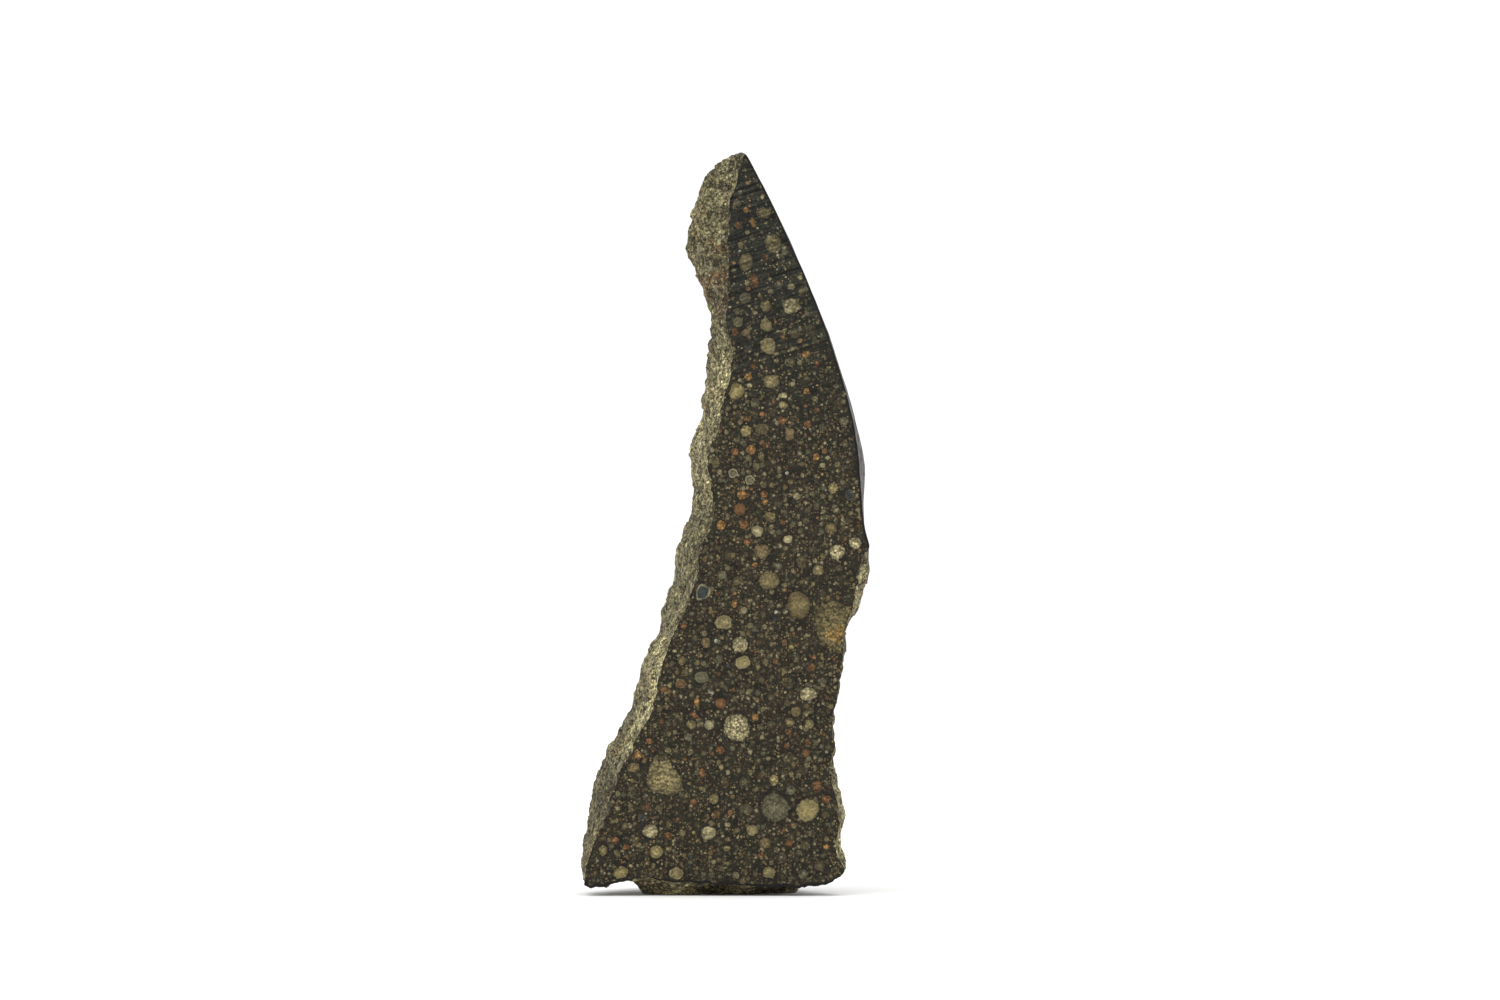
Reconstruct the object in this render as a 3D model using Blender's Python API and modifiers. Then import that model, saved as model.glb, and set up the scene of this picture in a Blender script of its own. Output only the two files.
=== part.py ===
"""A stony meteorite fragment: one stone with a flat sawn face, standing on a small flat spot.

The stone is a single solid. Its front is a plane left by a saw. Round that plane the
broken flanks flare outwards to the stone's widest outline, and behind the outline the
stone rounds over into its back, part natural crust and part old broken surface.

Frame: +X to the right, +Y away from the viewer, +Z up, in metres. The origin is in the
middle of the small flat that the stone stands on. Lengths below are in millimetres.
"""

import math
import random
from collections import namedtuple

import bmesh
import bpy
from mathutils import Vector, noise
from mathutils.kdtree import KDTree

MM = 0.001

# Driving dimensions
SAWN_FACE_Y = -4.5          # the saw's plane, in front of the middle of the foot
SPINE_BOTTOM = 3.6          # height at which the back's crest begins
SPINE_TOP = 26.4            # height at which the back's crest ends
STONE_COLOUR = (0.085, 0.072, 0.048, 1.0)

# The swelling of the underside that the stone stands on, worn flat at the ground: an oval
# that lies across the underside from the front left to the back right
FOOT_CENTRE = Vector((0.25, -0.45))
FOOT_HALF_LENGTH = 3.5
FOOT_HALF_WIDTH = 2.35
FOOT_TURN = math.radians(38.0)
FOOT_SWELL = 0.3            # how far it would reach below the ground before it is worn
FOOT_UNEVEN = 0.3           # how far its outline strays from the oval, as a share
SIDE_CLEARANCE = 0.12       # the least gap under the rest of the underside

# Thickness behind the sawn face at a height: (height, thickness)
THICKNESS = (
    (0.0, 8.0), (4.0, 8.9), (9.0, 9.2), (14.0, 8.4), (19.0, 7.0), (24.0, 5.4), (28.0, 3.7), (30.2, 2.2),
)

# Sideways place of the back's crest at a height: (height, x)
SPINE = ((0.0, -0.5), (6.0, -0.1), (12.0, 1.3), (18.0, 1.9), (24.0, 1.2), (30.0, 0.2))

# One stretch of the stone's edge, as the viewer sees it. "cut" is the edge of the sawn
# face and "rim" is the widest outline behind it, both as (x, z). rim_depth is how far
# the rim lies behind the face, as a share of the thickness there, and boxy is below 1
# where the stone runs straight back before it turns in.
Stretch = namedtuple("Stretch", "name cut rim rim_depth boxy")

CRUST_EDGE = Stretch(
    "crust edge",
    cut=((0.75, 30.0), (1.85, 27.95), (2.95, 25.55), (3.95, 23.15), (4.75, 20.75), (5.3, 18.35),
         (5.5, 15.9), (5.55, 15.1), (5.7, 14.45), (5.85, 14.0)),
    rim=((0.75, 30.05), (1.85, 28.0), (2.97, 25.6), (3.97, 23.2), (4.8, 20.75), (5.25, 19.35),
         (5.5, 18.35), (5.65, 17.15), (5.6, 15.9), (5.58, 15.1), (5.7, 14.45), (5.85, 14.0)),
    rim_depth=0.24, boxy=0.75)
CHIP = Stretch(
    "chip",
    cut=((5.85, 14.0), (5.6, 13.65), (5.45, 13.25), (5.4, 12.8), (5.25, 12.4), (5.2, 11.9),
         (5.15, 11.55), (5.0, 11.05)),
    rim=((5.85, 14.0), (5.82, 13.5), (5.9, 12.9), (5.85, 12.7), (5.6, 12.3), (5.5, 11.7),
         (5.35, 11.3), (5.05, 11.0)),
    rim_depth=0.13, boxy=0.8)
WORN_EDGE = Stretch(
    "worn edge",
    cut=((5.0, 11.05), (4.85, 10.25), (4.85, 9.8), (4.7, 9.1), (4.65, 8.55), (4.45, 7.5),
         (4.4, 7.0), (4.4, 6.45), (4.35, 5.55), (4.3, 5.4)),
    rim=((5.05, 11.0), (4.85, 10.2), (4.8, 9.1), (4.65, 8.5), (4.45, 7.5), (4.4, 6.5), (4.32, 5.35)),
    rim_depth=0.12, boxy=0.8)
LOWER_RIGHT = Stretch(
    "lower right",
    cut=((4.3, 5.4), (4.3, 5.0), (4.35, 4.5), (4.5, 4.15), (4.6, 3.75), (4.65, 2.8), (4.6, 2.55),
         (4.45, 1.85), (4.5, 1.55), (4.65, 1.25), (5.0, 0.95)),
    rim=((4.32, 5.35), (4.45, 5.05), (4.55, 4.7), (4.6, 4.25), (4.75, 3.9), (4.92, 3.05), (4.9, 2.8),
         (4.7, 2.6), (4.65, 2.3), (4.75, 1.85), (4.97, 1.4), (5.05, 0.98)),
    rim_depth=0.13, boxy=0.8)
RIGHT_BASE = Stretch(
    "right base",
    cut=((5.0, 0.95), (4.9, 0.8), (4.6, 0.6), (4.0, 0.35), (3.6, 0.3), (2.7, 0.22), (1.8, 0.3),
         (1.4, 0.3)),
    rim=((5.05, 0.98), (4.9, 0.85), (4.6, 0.75), (4.0, 0.55), (3.6, 0.5), (2.7, 0.42), (1.85, 0.3),
         (1.4, 0.2)),
    rim_depth=0.18, boxy=0.42)
FOOT_FRONT = Stretch(
    "foot front",
    cut=((1.4, 0.3), (0.8, 0.35), (0.2, 0.4), (-0.4, 0.5), (-1.8, 0.5), (-2.3, 0.55), (-2.55, 0.6),
         (-2.8, 0.7), (-3.15, 0.75), (-3.45, 0.7)),
    rim=((1.4, 0.2), (0.7, 0.1), (0.4, 0.06), (-0.2, 0.03), (-1.0, 0.02), (-2.15, 0.05), (-2.6, 0.08),
         (-2.85, 0.15), (-3.15, 0.3), (-3.5, 0.5)),
    rim_depth=0.18, boxy=0.38)
ARCH = Stretch(
    "arch",
    cut=((-3.45, 0.7), (-4.2, 0.5), (-4.6, 0.4), (-5.3, 0.2), (-5.6, 0.17), (-5.75, 0.22), (-5.8, 0.3)),
    rim=((-3.5, 0.5), (-3.95, 0.68), (-4.35, 0.66), (-4.85, 0.6), (-5.4, 0.5), (-5.7, 0.5),
         (-5.85, 0.7)),
    rim_depth=0.22, boxy=0.5)
LEFT_FLANK = Stretch(
    "left flank",
    cut=((-5.8, 0.3), (-5.65, 0.65), (-5.55, 1.45), (-5.25, 2.25), (-5.0, 2.9), (-4.75, 3.15),
         (-4.55, 4.15), (-4.4, 4.4), (-4.4, 4.75), (-4.05, 5.55), (-3.75, 5.85), (-3.35, 6.75),
         (-2.9, 7.5), (-2.75, 7.95), (-2.75, 8.7), (-2.35, 9.7), (-2.05, 10.8), (-1.75, 11.2),
         (-1.4, 12.2), (-1.15, 12.65), (-1.0, 13.9), (-0.55, 15.0), (-0.45, 16.0), (-0.75, 17.1),
         (-0.75, 17.75), (-0.5, 18.35), (-0.2, 19.0), (-0.2, 19.85), (0.05, 20.05), (0.0, 20.3),
         (0.2, 20.75), (0.4, 21.85), (0.15, 22.35), (0.0, 22.75), (0.25, 24.75), (0.2, 25.65),
         (0.2, 26.95), (0.3, 28.15), (0.5, 28.4), (0.7, 28.75), (0.7, 29.5), (0.75, 30.0)),
    rim=((-5.85, 0.7), (-5.85, 1.15), (-5.75, 1.65), (-5.8, 2.05), (-5.65, 2.3), (-5.6, 3.5),
         (-5.4, 4.35), (-5.25, 4.85), (-5.05, 5.4), (-4.6, 6.15), (-4.4, 6.4), (-4.25, 6.95),
         (-3.85, 7.45), (-3.8, 7.8), (-3.45, 8.8), (-3.4, 9.15), (-2.9, 10.35), (-2.7, 10.65),
         (-2.65, 11.2), (-2.4, 12.05), (-2.05, 12.7), (-2.15, 13.25), (-2.05, 13.9), (-1.7, 14.8),
         (-1.4, 15.4), (-1.35, 16.65), (-1.5, 17.45), (-1.5, 18.15), (-1.25, 18.45), (-1.0, 19.1),
         (-0.9, 19.55), (-1.05, 20.15), (-0.8, 20.55), (-0.75, 21.05), (-0.9, 21.55), (-0.7, 21.9),
         (-0.7, 22.3), (-0.55, 22.9), (-0.55, 23.3), (-0.8, 23.9), (-1.0, 24.6), (-1.35, 25.1),
         (-1.6, 25.65), (-1.7, 26.3), (-1.6, 26.55), (-1.7, 26.8), (-1.55, 27.0), (-1.45, 27.6),
         (-1.3, 28.05), (-1.1, 28.4), (-1.1, 28.75), (-0.85, 29.2), (-0.1, 29.7), (0.5, 30.02),
         (0.75, 30.05)),
    rim_depth=0.35, boxy=0.85)
EDGE = (CRUST_EDGE, CHIP, WORN_EDGE, LOWER_RIGHT, RIGHT_BASE, FOOT_FRONT, ARCH, LEFT_FLANK)

# How finely the surface is divided before it is made into even facets
STATIONS = 400              # places round the edge
SAW_ALLOWANCE = 1.0         # how far the uncut stone reaches in front of the saw's plane
FLANK_RINGS = 8             # rings from the sawn face out to the rim
BACK_RINGS = 48             # rings from the rim to the crest
CREST_SHARE = 0.96          # how far the last ring has come on its way to the crest
DETAIL_FADES = 0.18         # share of the way back over which the outline's small wiggles fade
DETAIL_REACH = 9            # stations over which they are evened out
SWAY = 2.2                  # how far the sides' ledges wander up and down on their way back
SWAY_LENGTH = 2.2           # distance over which they do
CUT_ROW = 1                 # the row in the saw's plane, one behind the first
RIM_ROW = CUT_ROW + FLANK_RINGS
PROFILE_POINTS = 121        # points of the curve from the rim to the crest
GRID = 0.2                  # size of the even triangles
EVEN_PASSES = 2             # passes that take the grid's steps off sharp ridges
TRIANGLES_KEPT = 0.18       # share of them that is kept, fewest where the stone is smooth

# Old fracture planes that shape the back: the direction each faces, and a point on it as
# (x, depth behind the sawn face, z)
Fracture = namedtuple("Fracture", "facing through")
FRACTURES = (
    Fracture((-0.66, 0.70, 0.28), (-2.3, 6.6, 9.0)),
    Fracture((-0.84, 0.48, 0.26), (-1.2, 4.4, 19.0)),
    Fracture((0.82, 0.55, -0.18), (4.3, 6.2, 4.5)),
    Fracture((0.10, 0.84, 0.53), (0.9, 5.9, 24.5)),
    Fracture((-0.25, 0.80, -0.55), (-0.6, 8.3, 2.2)),
    Fracture((0.30, 0.95, 0.10), (2.2, 8.3, 13.5)),
)
FRACTURE_SOFTNESS = 0.12    # the share of the overshoot that stays beyond a fracture plane

# Hollows where a flake came away from the back: the middle of the ball that would fill
# one, as (x, depth, z), and its radius
Hollow = namedtuple("Hollow", "centre radius")
HOLLOWS = (
    Hollow((-6.6, 9.4, 12.2), 5.6),
    Hollow((1.0, 15.2, 5.4), 7.2),
    Hollow((8.8, 9.2, 9.6), 5.4),
)

# Relief of the broken surface: (size of the lumps, height)
LUMPS = ((3.6, 0.55), (1.7, 0.36), (0.85, 0.17))
LEDGE_SPACING = 2.6
LEDGE_HEIGHT = 0.32
LEDGE_UP = Vector((0.45, -0.3, 0.84)).normalized()

# Relief of the natural crust, which has broad shallow thumbprints
THUMBPRINT_SIZE = 3.3
THUMBPRINT_DEPTH = 0.95
CRUST_STEP = 0.12           # how far the crust stands proud of the broken surface
# Where the crust ends on the back: (height, distance to the right of the crest)
CRUST_LIMIT = ((0.0, 9.0), (6.5, 5.0), (9.0, 2.6), (13.0, 0.9), (17.0, -0.4), (23.0, -1.3), (30.0, -1.6))
CRUST_WANDER = 1.3
CHIP_TOP = 13.9             # height at which the crust ends beside the sawn face

# Round grains that stand out of the broken surface, and the pits of those that fell out
GRAINS = 170
GRAIN_RADII = (0.34, 0.8)
GRAIN_SHARE_OUT = 0.6
GRAIN_RELIEF = 0.4
SEED = 11

FLANK_RELIEF = 0.5          # share of the relief between the sawn edge and the rim
RELIEF_SUNK = 0.3           # how far the relief behind the rim lies below the plain shape
INSIDE_RIM = 0.18           # how far inside the outline the stone stays, a little way behind it
SNAP = 0.02                 # corners this near to a cutting plane are moved onto it


def clear_scene():
    for obj in list(bpy.data.objects):
        bpy.data.objects.remove(obj, do_unlink=True)


def smoothstep(low, high, value):
    share = min(max((value - low) / (high - low), 0.0), 1.0)
    return share * share * (3.0 - 2.0 * share)


def table(rows, at):
    """Reads a value between the rows of a table, with a smooth turn at each row."""
    if at <= rows[0][0]:
        return rows[0][1]
    for (a, low), (b, high) in zip(rows, rows[1:]):
        if at <= b:
            share = 0.35 * smoothstep(a, b, at) + 0.65 * (at - a) / (b - a)
            return low + (high - low) * share
    return rows[-1][1]


def thickness(z):
    return table(THICKNESS, z)


def spine_x(z):
    return table(SPINE, z)


def lengths(line):
    """Running length at each point of a line."""
    run = [0.0]
    for a, b in zip(line, line[1:]):
        run.append(run[-1] + (b - a).length)
    return run


def at_share(line, run, share):
    """The point at a share of a line, where run holds a measure that grows along it."""
    target = run[0] + (run[-1] - run[0]) * share
    for i in range(1, len(line)):
        if target <= run[i] or i == len(line) - 1:
            gap = run[i] - run[i - 1]
            part = (target - run[i - 1]) / gap if gap > 1e-9 else 0.0
            return line[i - 1].lerp(line[i], min(max(part, 0.0), 1.0))
    return line[-1]


def progress(line):
    """How far each point has come from a line's first point towards its last."""
    chord = line[-1] - line[0]
    return [(p - line[0]).dot(chord) / chord.length_squared for p in line]


def rounded(line, times):
    """Cuts the corners of a line, and keeps its ends."""
    for _ in range(times):
        soft = [line[0]]
        for a, b in zip(line, line[1:]):
            soft.append(a.lerp(b, 0.25))
            soft.append(a.lerp(b, 0.75))
        soft.append(line[-1])
        line = soft
    return line


Station = namedtuple("Station", "cut rim rim_depth boxy")


def stations():
    """Pairs the sawn edge with the rim at evenly spaced places round the stone."""
    rims = [rounded([Vector(p) for p in s.rim], 1) for s in EDGE]
    cuts = [rounded([Vector(p) for p in s.cut], 1) for s in EDGE]
    reach = [lengths(rim)[-1] for rim in rims]
    counts = [max(3, round(STATIONS * r / sum(reach))) for r in reach]
    counts[-1] += STATIONS - sum(counts)
    found = []
    for stretch, cut, rim, count in zip(EDGE, cuts, rims, counts):
        rim_run = lengths(rim)
        cut_progress = progress(cut)
        for i in range(count):
            on_rim = at_share(rim, rim_run, i / count)
            come = progress([rim[0], on_rim, rim[-1]])[1]
            on_cut = at_share(cut, cut_progress, min(max(come, 0.0), 1.0))
            found.append(Station(on_cut, on_rim, stretch.rim_depth, stretch.boxy))
    return found


def blended(values, reach):
    """A running mean round a closed row of values."""
    count = len(values)
    window = range(-reach, reach + 1)
    return [sum(values[(i + k) % count] for k in window) / len(window) for i in range(count)]


def profile(rim, rim_depth, crest, crest_depth, boxy):
    """The curve from the rim round to the crest, as points (x, depth, z)."""
    points = []
    for i in range(PROFILE_POINTS):
        angle = i / (PROFILE_POINTS - 1) * math.pi / 2.0
        inward = 1.0 - max(math.cos(angle), 0.0) ** boxy
        backward = math.sin(angle) ** boxy
        flat = rim.lerp(crest, inward)
        points.append(Vector((flat.x, rim_depth + (crest_depth - rim_depth) * backward, flat.y)))
    return points


def evened(points, reach):
    """A running mean of a closed row of flat points."""
    count = len(points)
    window = range(-reach, reach + 1)
    nothing = Vector((0.0, 0.0))
    return [sum((points[(i + k) % count] for k in window), nothing) / len(window) for i in range(count)]


def crest_of(rim):
    """The place on the back's crest that a rim point's profile runs to, as (x, z)."""
    height = min(max(rim.y, SPINE_BOTTOM), SPINE_TOP)
    return Vector((spine_x(height), height))


def way_back(row_number):
    """How far a row lies on its way from the rim, which is 0, to the last ring, which is 1."""
    return max(0.0, (row_number - RIM_ROW) / BACK_RINGS)


def rings():
    """Every ring of the stone, from in front of the sawn edge to the crest, as (x, y, z)."""
    around = stations()
    depths = blended([s.rim_depth * thickness(s.rim.y) for s in around], 7)
    boxes = blended([s.boxy for s in around], 10)
    soft_rims = evened([s.rim for s in around], DETAIL_REACH)
    result = [[] for _ in range(RIM_ROW + BACK_RINGS + 1)]
    for station, soft_rim, rim_depth, boxy in zip(around, soft_rims, depths, boxes):
        result[0].append(Vector((station.cut.x, -SAW_ALLOWANCE, station.cut.y)))
        for k in range(FLANK_RINGS + 1):
            share = k / FLANK_RINGS
            flat = station.cut.lerp(station.rim, math.sin(share * math.pi / 2.0))
            result[CUT_ROW + k].append(Vector((flat.x, rim_depth * share, flat.y)))
        crest = crest_of(station.rim)
        crest_depth = thickness(crest.y)
        sharp = profile(station.rim, rim_depth, crest, crest_depth, boxy)
        soft = profile(soft_rim, rim_depth, crest, crest_depth, boxy)
        sharp_run, soft_run = lengths(sharp), lengths(soft)
        for k in range(1, BACK_RINGS + 1):
            share = CREST_SHARE * k / BACK_RINGS
            fade = smoothstep(0.0, DETAIL_FADES, way_back(RIM_ROW + k))
            point = at_share(sharp, sharp_run, share).lerp(at_share(soft, soft_run, share), fade)
            result[RIM_ROW + k].append(point)
    for ring in result:
        for point in ring:
            point.y += SAWN_FACE_Y
    return result


def crust_share(point):
    """1 on the natural crust, 0 on the broken surface, from a place in millimetres."""
    wander = CRUST_WANDER * (noise.noise(point * 0.6) + 0.5 * noise.noise(point * 1.7))
    past_limit = point.x - spine_x(point.z) - table(CRUST_LIMIT, point.z) + wander
    depth = point.y - SAWN_FACE_Y
    past_chip = point.z - CHIP_TOP + 1.1 * max(0.0, depth - 1.0)
    past_chip += 1.6 * wander * smoothstep(0.1, 1.5, depth)
    return smoothstep(-0.15, 0.15, min(past_limit, past_chip))


def broken_relief(point):
    """Lumps and ledges of the broken surface."""
    height = sum(tall * noise.noise(point / size) for size, tall in LUMPS)
    level = point.dot(LEDGE_UP) / LEDGE_SPACING + 0.9 * noise.noise(point / 4.2)
    tread = level - math.floor(level)
    return height + LEDGE_HEIGHT * (smoothstep(0.7, 1.0, tread) - tread)


def crust_relief(point):
    """Shallow bowls that meet in soft ridges."""
    near, _ = noise.voronoi(point / THUMBPRINT_SIZE + Vector((0.3, 0.1, 0.7)))
    bowl = min(near[1] - near[0], 0.5)
    return THUMBPRINT_DEPTH * (0.2 - bowl) + 0.05 * noise.noise(point / 1.3)


def broken_back(point):
    """Where a point of the back comes to lie once the old fractures and hollows are made."""
    point = point.copy()
    for fracture in FRACTURES:
        facing = Vector(fracture.facing).normalized()
        x, depth, z = fracture.through
        beyond = (point - Vector((x, depth + SAWN_FACE_Y, z))).dot(facing)
        if beyond > 0.0:
            point -= facing * beyond * (1.0 - FRACTURE_SOFTNESS)
    for hollow in HOLLOWS:
        x, depth, z = hollow.centre
        centre = Vector((x, depth + SAWN_FACE_Y, z))
        away = point - centre
        if away.length < hollow.radius:
            point = centre + away.normalized() * hollow.radius
    return point


def sway(laid):
    """Lets what would run straight back from the rim wander up and down."""
    for k, row in enumerate(laid):
        share = smoothstep(0.0, 0.18, way_back(k)) * (1.0 - smoothstep(0.4, 0.8, way_back(k)))
        for vert in row:
            x, y, z = vert.co
            vert.co.z += SWAY * share * noise.noise(Vector((x * 0.4, y, z * 0.4)) / SWAY_LENGTH)


def knap(laid):
    """Shapes the back by its fractures and hollows, and leaves the rim alone."""
    for k, row in enumerate(laid):
        share = smoothstep(0.0, 0.18, way_back(k))
        for vert in row:
            vert.co = vert.co.lerp(broken_back(vert.co), share)


def grain_heights(bm):
    """The relief that standing grains and pits give each point of the broken surface."""
    chance = random.Random(SEED)
    tree = KDTree(len(bm.verts))
    for vert in bm.verts:
        tree.insert(vert.co, vert.index)
    tree.balance()
    places = [v.co.copy() for v in bm.verts if crust_share(v.co) < 0.5]
    chosen = []
    heights = [0.0] * len(bm.verts)
    for _ in range(GRAINS * 8):
        radius = chance.uniform(*GRAIN_RADII)
        centre = chance.choice(places)
        sign = 1.0 if chance.random() < GRAIN_SHARE_OUT else -1.0
        if any((centre - c).length < (radius + r) * 0.85 for c, r in chosen):
            continue
        chosen.append((centre, radius))
        for _, index, away in tree.find_range(centre, radius):
            heights[index] += sign * radius * GRAIN_RELIEF * (1.0 - (away / radius) ** 2)
        if len(chosen) == GRAINS:
            break
    return heights


def weather(bm, laid):
    """Gives the loft its relief. The sawn edge stays put, and so does the rim's outline."""
    bm.normal_update()
    bm.verts.index_update()
    on_grains = grain_heights(bm)
    moved = []
    for k, row in enumerate(laid):
        out = (k - CUT_ROW) / FLANK_RINGS
        behind = smoothstep(0.0, 0.27, way_back(k))
        before = math.sin(math.pi * min(max(out, 0.0), 1.0))
        for vert in row:
            point = vert.co
            crust = crust_share(point)
            rough = broken_relief(point) + on_grains[vert.index] - RELIEF_SUNK * behind
            height = (1.0 - crust) * rough + crust * (crust_relief(point) + CRUST_STEP)
            move = vert.normal * height * max(behind, before * FLANK_RELIEF * (1.0 - crust))
            near_rim = smoothstep(0.0, 0.4, out) * (1.0 - smoothstep(0.0, 0.08, way_back(k)))
            move.y += 0.35 * height * near_rim
            moved.append((vert, point + move))
    for vert, point in moved:
        vert.co = point


def keep_outline(laid):
    """Holds what lies behind the rim inside the rim's own outline."""
    rim = [Vector((v.co.x, v.co.z, 0.0)) for v in laid[RIM_ROW]]
    nearest = KDTree(len(rim))
    for i, place in enumerate(rim):
        nearest.insert(place, i)
    nearest.balance()
    for k, row in enumerate(laid[RIM_ROW + 1:], start=RIM_ROW + 1):
        inside = INSIDE_RIM * smoothstep(0.0, 0.27, way_back(k))
        for vert in row:
            place = Vector((vert.co.x, vert.co.z, 0.0))
            edge, i, _ = nearest.find(place)
            ahead, behind = rim[(i + 2) % STATIONS], rim[i - 2]
            outward = Vector((behind.y - ahead.y, ahead.x - behind.x, 0.0)).normalized()
            over = (place - edge).dot(outward) + inside
            if over > 0.0:
                vert.co.x -= outward.x * over
                vert.co.z -= outward.y * over


def swell_foot(laid):
    """Pushes the underside down where the stone stands, and keeps it up beside that."""
    along = Vector((math.cos(FOOT_TURN), math.sin(FOOT_TURN)))
    across = along.orthogonal()
    for row in laid[CUT_ROW + 1:]:
        for vert in row:
            place = Vector((vert.co.x, vert.co.y)) - FOOT_CENTRE
            out = math.hypot(place.dot(along) / FOOT_HALF_LENGTH, place.dot(across) / FOOT_HALF_WIDTH)
            out *= 1.0 + FOOT_UNEVEN * noise.noise(Vector((place.x, place.y, 0.0)) / 1.6)
            low = 1.0 - smoothstep(1.2, 2.6, vert.co.z)
            pushed = low * (1.0 - smoothstep(0.75, 1.3, out))
            vert.co.z += (-FOOT_SWELL - vert.co.z) * pushed
            if out > 1.05:
                vert.co.z = max(vert.co.z, SIDE_CLEARANCE + 0.3 * smoothstep(1.05, 1.5, out))


def rough_stone():
    """The stone before it is sawn, as a closed object that reaches past the saw's plane."""
    bm = bmesh.new()
    laid = [[bm.verts.new(point) for point in ring] for ring in rings()]
    for outer, inner in zip(laid, laid[1:]):
        for i in range(STATIONS):
            j = (i + 1) % STATIONS
            bm.faces.new((outer[i], outer[j], inner[j], inner[i]))
    bmesh.ops.recalc_face_normals(bm, faces=bm.faces[:])
    sway(laid)
    knap(laid)
    weather(bm, laid)
    keep_outline(laid)
    swell_foot(laid)
    for row in (laid[0], laid[-1]):
        around = set(row)
        open_edges = [e for e in bm.edges if e.is_boundary and around.issuperset(e.verts)]
        bmesh.ops.triangle_fill(bm, edges=open_edges)
    bmesh.ops.recalc_face_normals(bm, faces=bm.faces[:])
    mesh = bpy.data.meshes.new("rough stone")
    bm.to_mesh(mesh)
    bm.free()
    rough = bpy.data.objects.new("rough stone", mesh)
    bpy.context.scene.collection.objects.link(rough)
    even = rough.modifiers.new("even triangles", "REMESH")
    even.mode = "VOXEL"
    even.voxel_size = GRID
    softer = rough.modifiers.new("softer ridges", "SMOOTH")
    softer.factor = 0.5
    softer.iterations = EVEN_PASSES
    fewer = rough.modifiers.new("fewer triangles", "DECIMATE")
    fewer.ratio = TRIANGLES_KEPT
    fewer.use_collapse_triangulate = True
    return rough


def cut_off(bm, through, facing):
    """Cuts away what lies past a plane and closes the cut with one flat face."""
    through, facing = Vector(through), Vector(facing)
    for vert in bm.verts:
        past = (vert.co - through).dot(facing)
        if abs(past) < SNAP:
            vert.co -= facing * past
    parts = bm.verts[:] + bm.edges[:] + bm.faces[:]
    bmesh.ops.bisect_plane(
        bm, geom=parts, dist=SNAP * 0.1, plane_co=through, plane_no=facing, clear_outer=True)
    rim = [e for e in bm.edges if e.is_boundary]
    bmesh.ops.triangle_fill(bm, use_beauty=True, edges=rim, normal=facing)


def finished_stone():
    """The stone after the saw and the wear of its foot, in metres."""
    rough = rough_stone()
    evaluated = rough.evaluated_get(bpy.context.evaluated_depsgraph_get())
    mesh = bpy.data.meshes.new_from_object(evaluated)
    bpy.data.objects.remove(rough, do_unlink=True)
    mesh.name = "meteorite"
    bm = bmesh.new()
    bm.from_mesh(mesh)
    cut_off(bm, through=(0.0, SAWN_FACE_Y, 0.0), facing=(0.0, -1.0, 0.0))
    cut_off(bm, through=(0.0, 0.0, 0.0), facing=(0.0, 0.0, -1.0))
    bmesh.ops.remove_doubles(bm, verts=bm.verts[:], dist=SNAP)
    bmesh.ops.delete(bm, geom=[v for v in bm.verts if not v.link_faces], context="VERTS")
    bmesh.ops.recalc_face_normals(bm, faces=bm.faces[:])
    bmesh.ops.scale(bm, vec=(MM, MM, MM), verts=bm.verts[:])
    bm.to_mesh(mesh)
    bm.free()
    return mesh


def stone_material():
    material = bpy.data.materials.new("stone")
    material.use_nodes = True
    shader = material.node_tree.nodes["Principled BSDF"]
    shader.inputs["Base Color"].default_value = STONE_COLOUR
    shader.inputs["Roughness"].default_value = 0.8
    shader.inputs["Metallic"].default_value = 0.0
    return material


def main():
    clear_scene()
    collection = bpy.data.collections.new("meteorite")
    bpy.context.scene.collection.children.link(collection)
    stone = bpy.data.objects.new("meteorite", finished_stone())
    stone.data.materials.append(stone_material())
    collection.objects.link(stone)


main()
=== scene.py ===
# %% [markdown]
# # A stony meteorite with a sawn face
#
# A small stone, 30 mm tall. A saw has opened its front, which shows a dark ground full of
# chondrules: round grains that were once drops of molten rock. Round that flat face the stone is
# broken and sandy, and high on the back it still has its dark crust, melted on the way down
# through the air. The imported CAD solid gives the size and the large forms, so this script only
# adds what is smaller: relief, grain, colour and gloss.

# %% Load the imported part
import math
import random

import bmesh
import bpy
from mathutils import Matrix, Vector, geometry, noise


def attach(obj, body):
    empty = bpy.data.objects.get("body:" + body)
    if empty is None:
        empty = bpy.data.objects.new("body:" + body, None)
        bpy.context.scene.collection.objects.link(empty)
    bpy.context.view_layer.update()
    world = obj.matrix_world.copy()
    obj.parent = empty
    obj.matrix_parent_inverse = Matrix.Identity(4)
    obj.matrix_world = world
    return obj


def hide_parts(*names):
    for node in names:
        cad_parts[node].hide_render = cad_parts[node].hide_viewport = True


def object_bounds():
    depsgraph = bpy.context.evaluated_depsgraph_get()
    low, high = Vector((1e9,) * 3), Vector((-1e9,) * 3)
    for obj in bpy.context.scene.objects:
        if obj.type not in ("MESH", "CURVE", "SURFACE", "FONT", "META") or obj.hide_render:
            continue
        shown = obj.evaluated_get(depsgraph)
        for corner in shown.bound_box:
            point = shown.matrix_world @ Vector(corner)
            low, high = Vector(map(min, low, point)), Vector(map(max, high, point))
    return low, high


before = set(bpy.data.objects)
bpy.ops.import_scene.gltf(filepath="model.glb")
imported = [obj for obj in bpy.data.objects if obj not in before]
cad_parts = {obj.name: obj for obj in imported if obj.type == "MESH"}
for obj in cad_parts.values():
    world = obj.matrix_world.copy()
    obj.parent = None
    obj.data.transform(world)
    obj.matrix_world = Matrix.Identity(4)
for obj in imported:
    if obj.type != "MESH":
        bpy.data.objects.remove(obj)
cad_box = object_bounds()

MM = 0.001                   # the frame is in metres, and the lengths below are in millimetres
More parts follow.
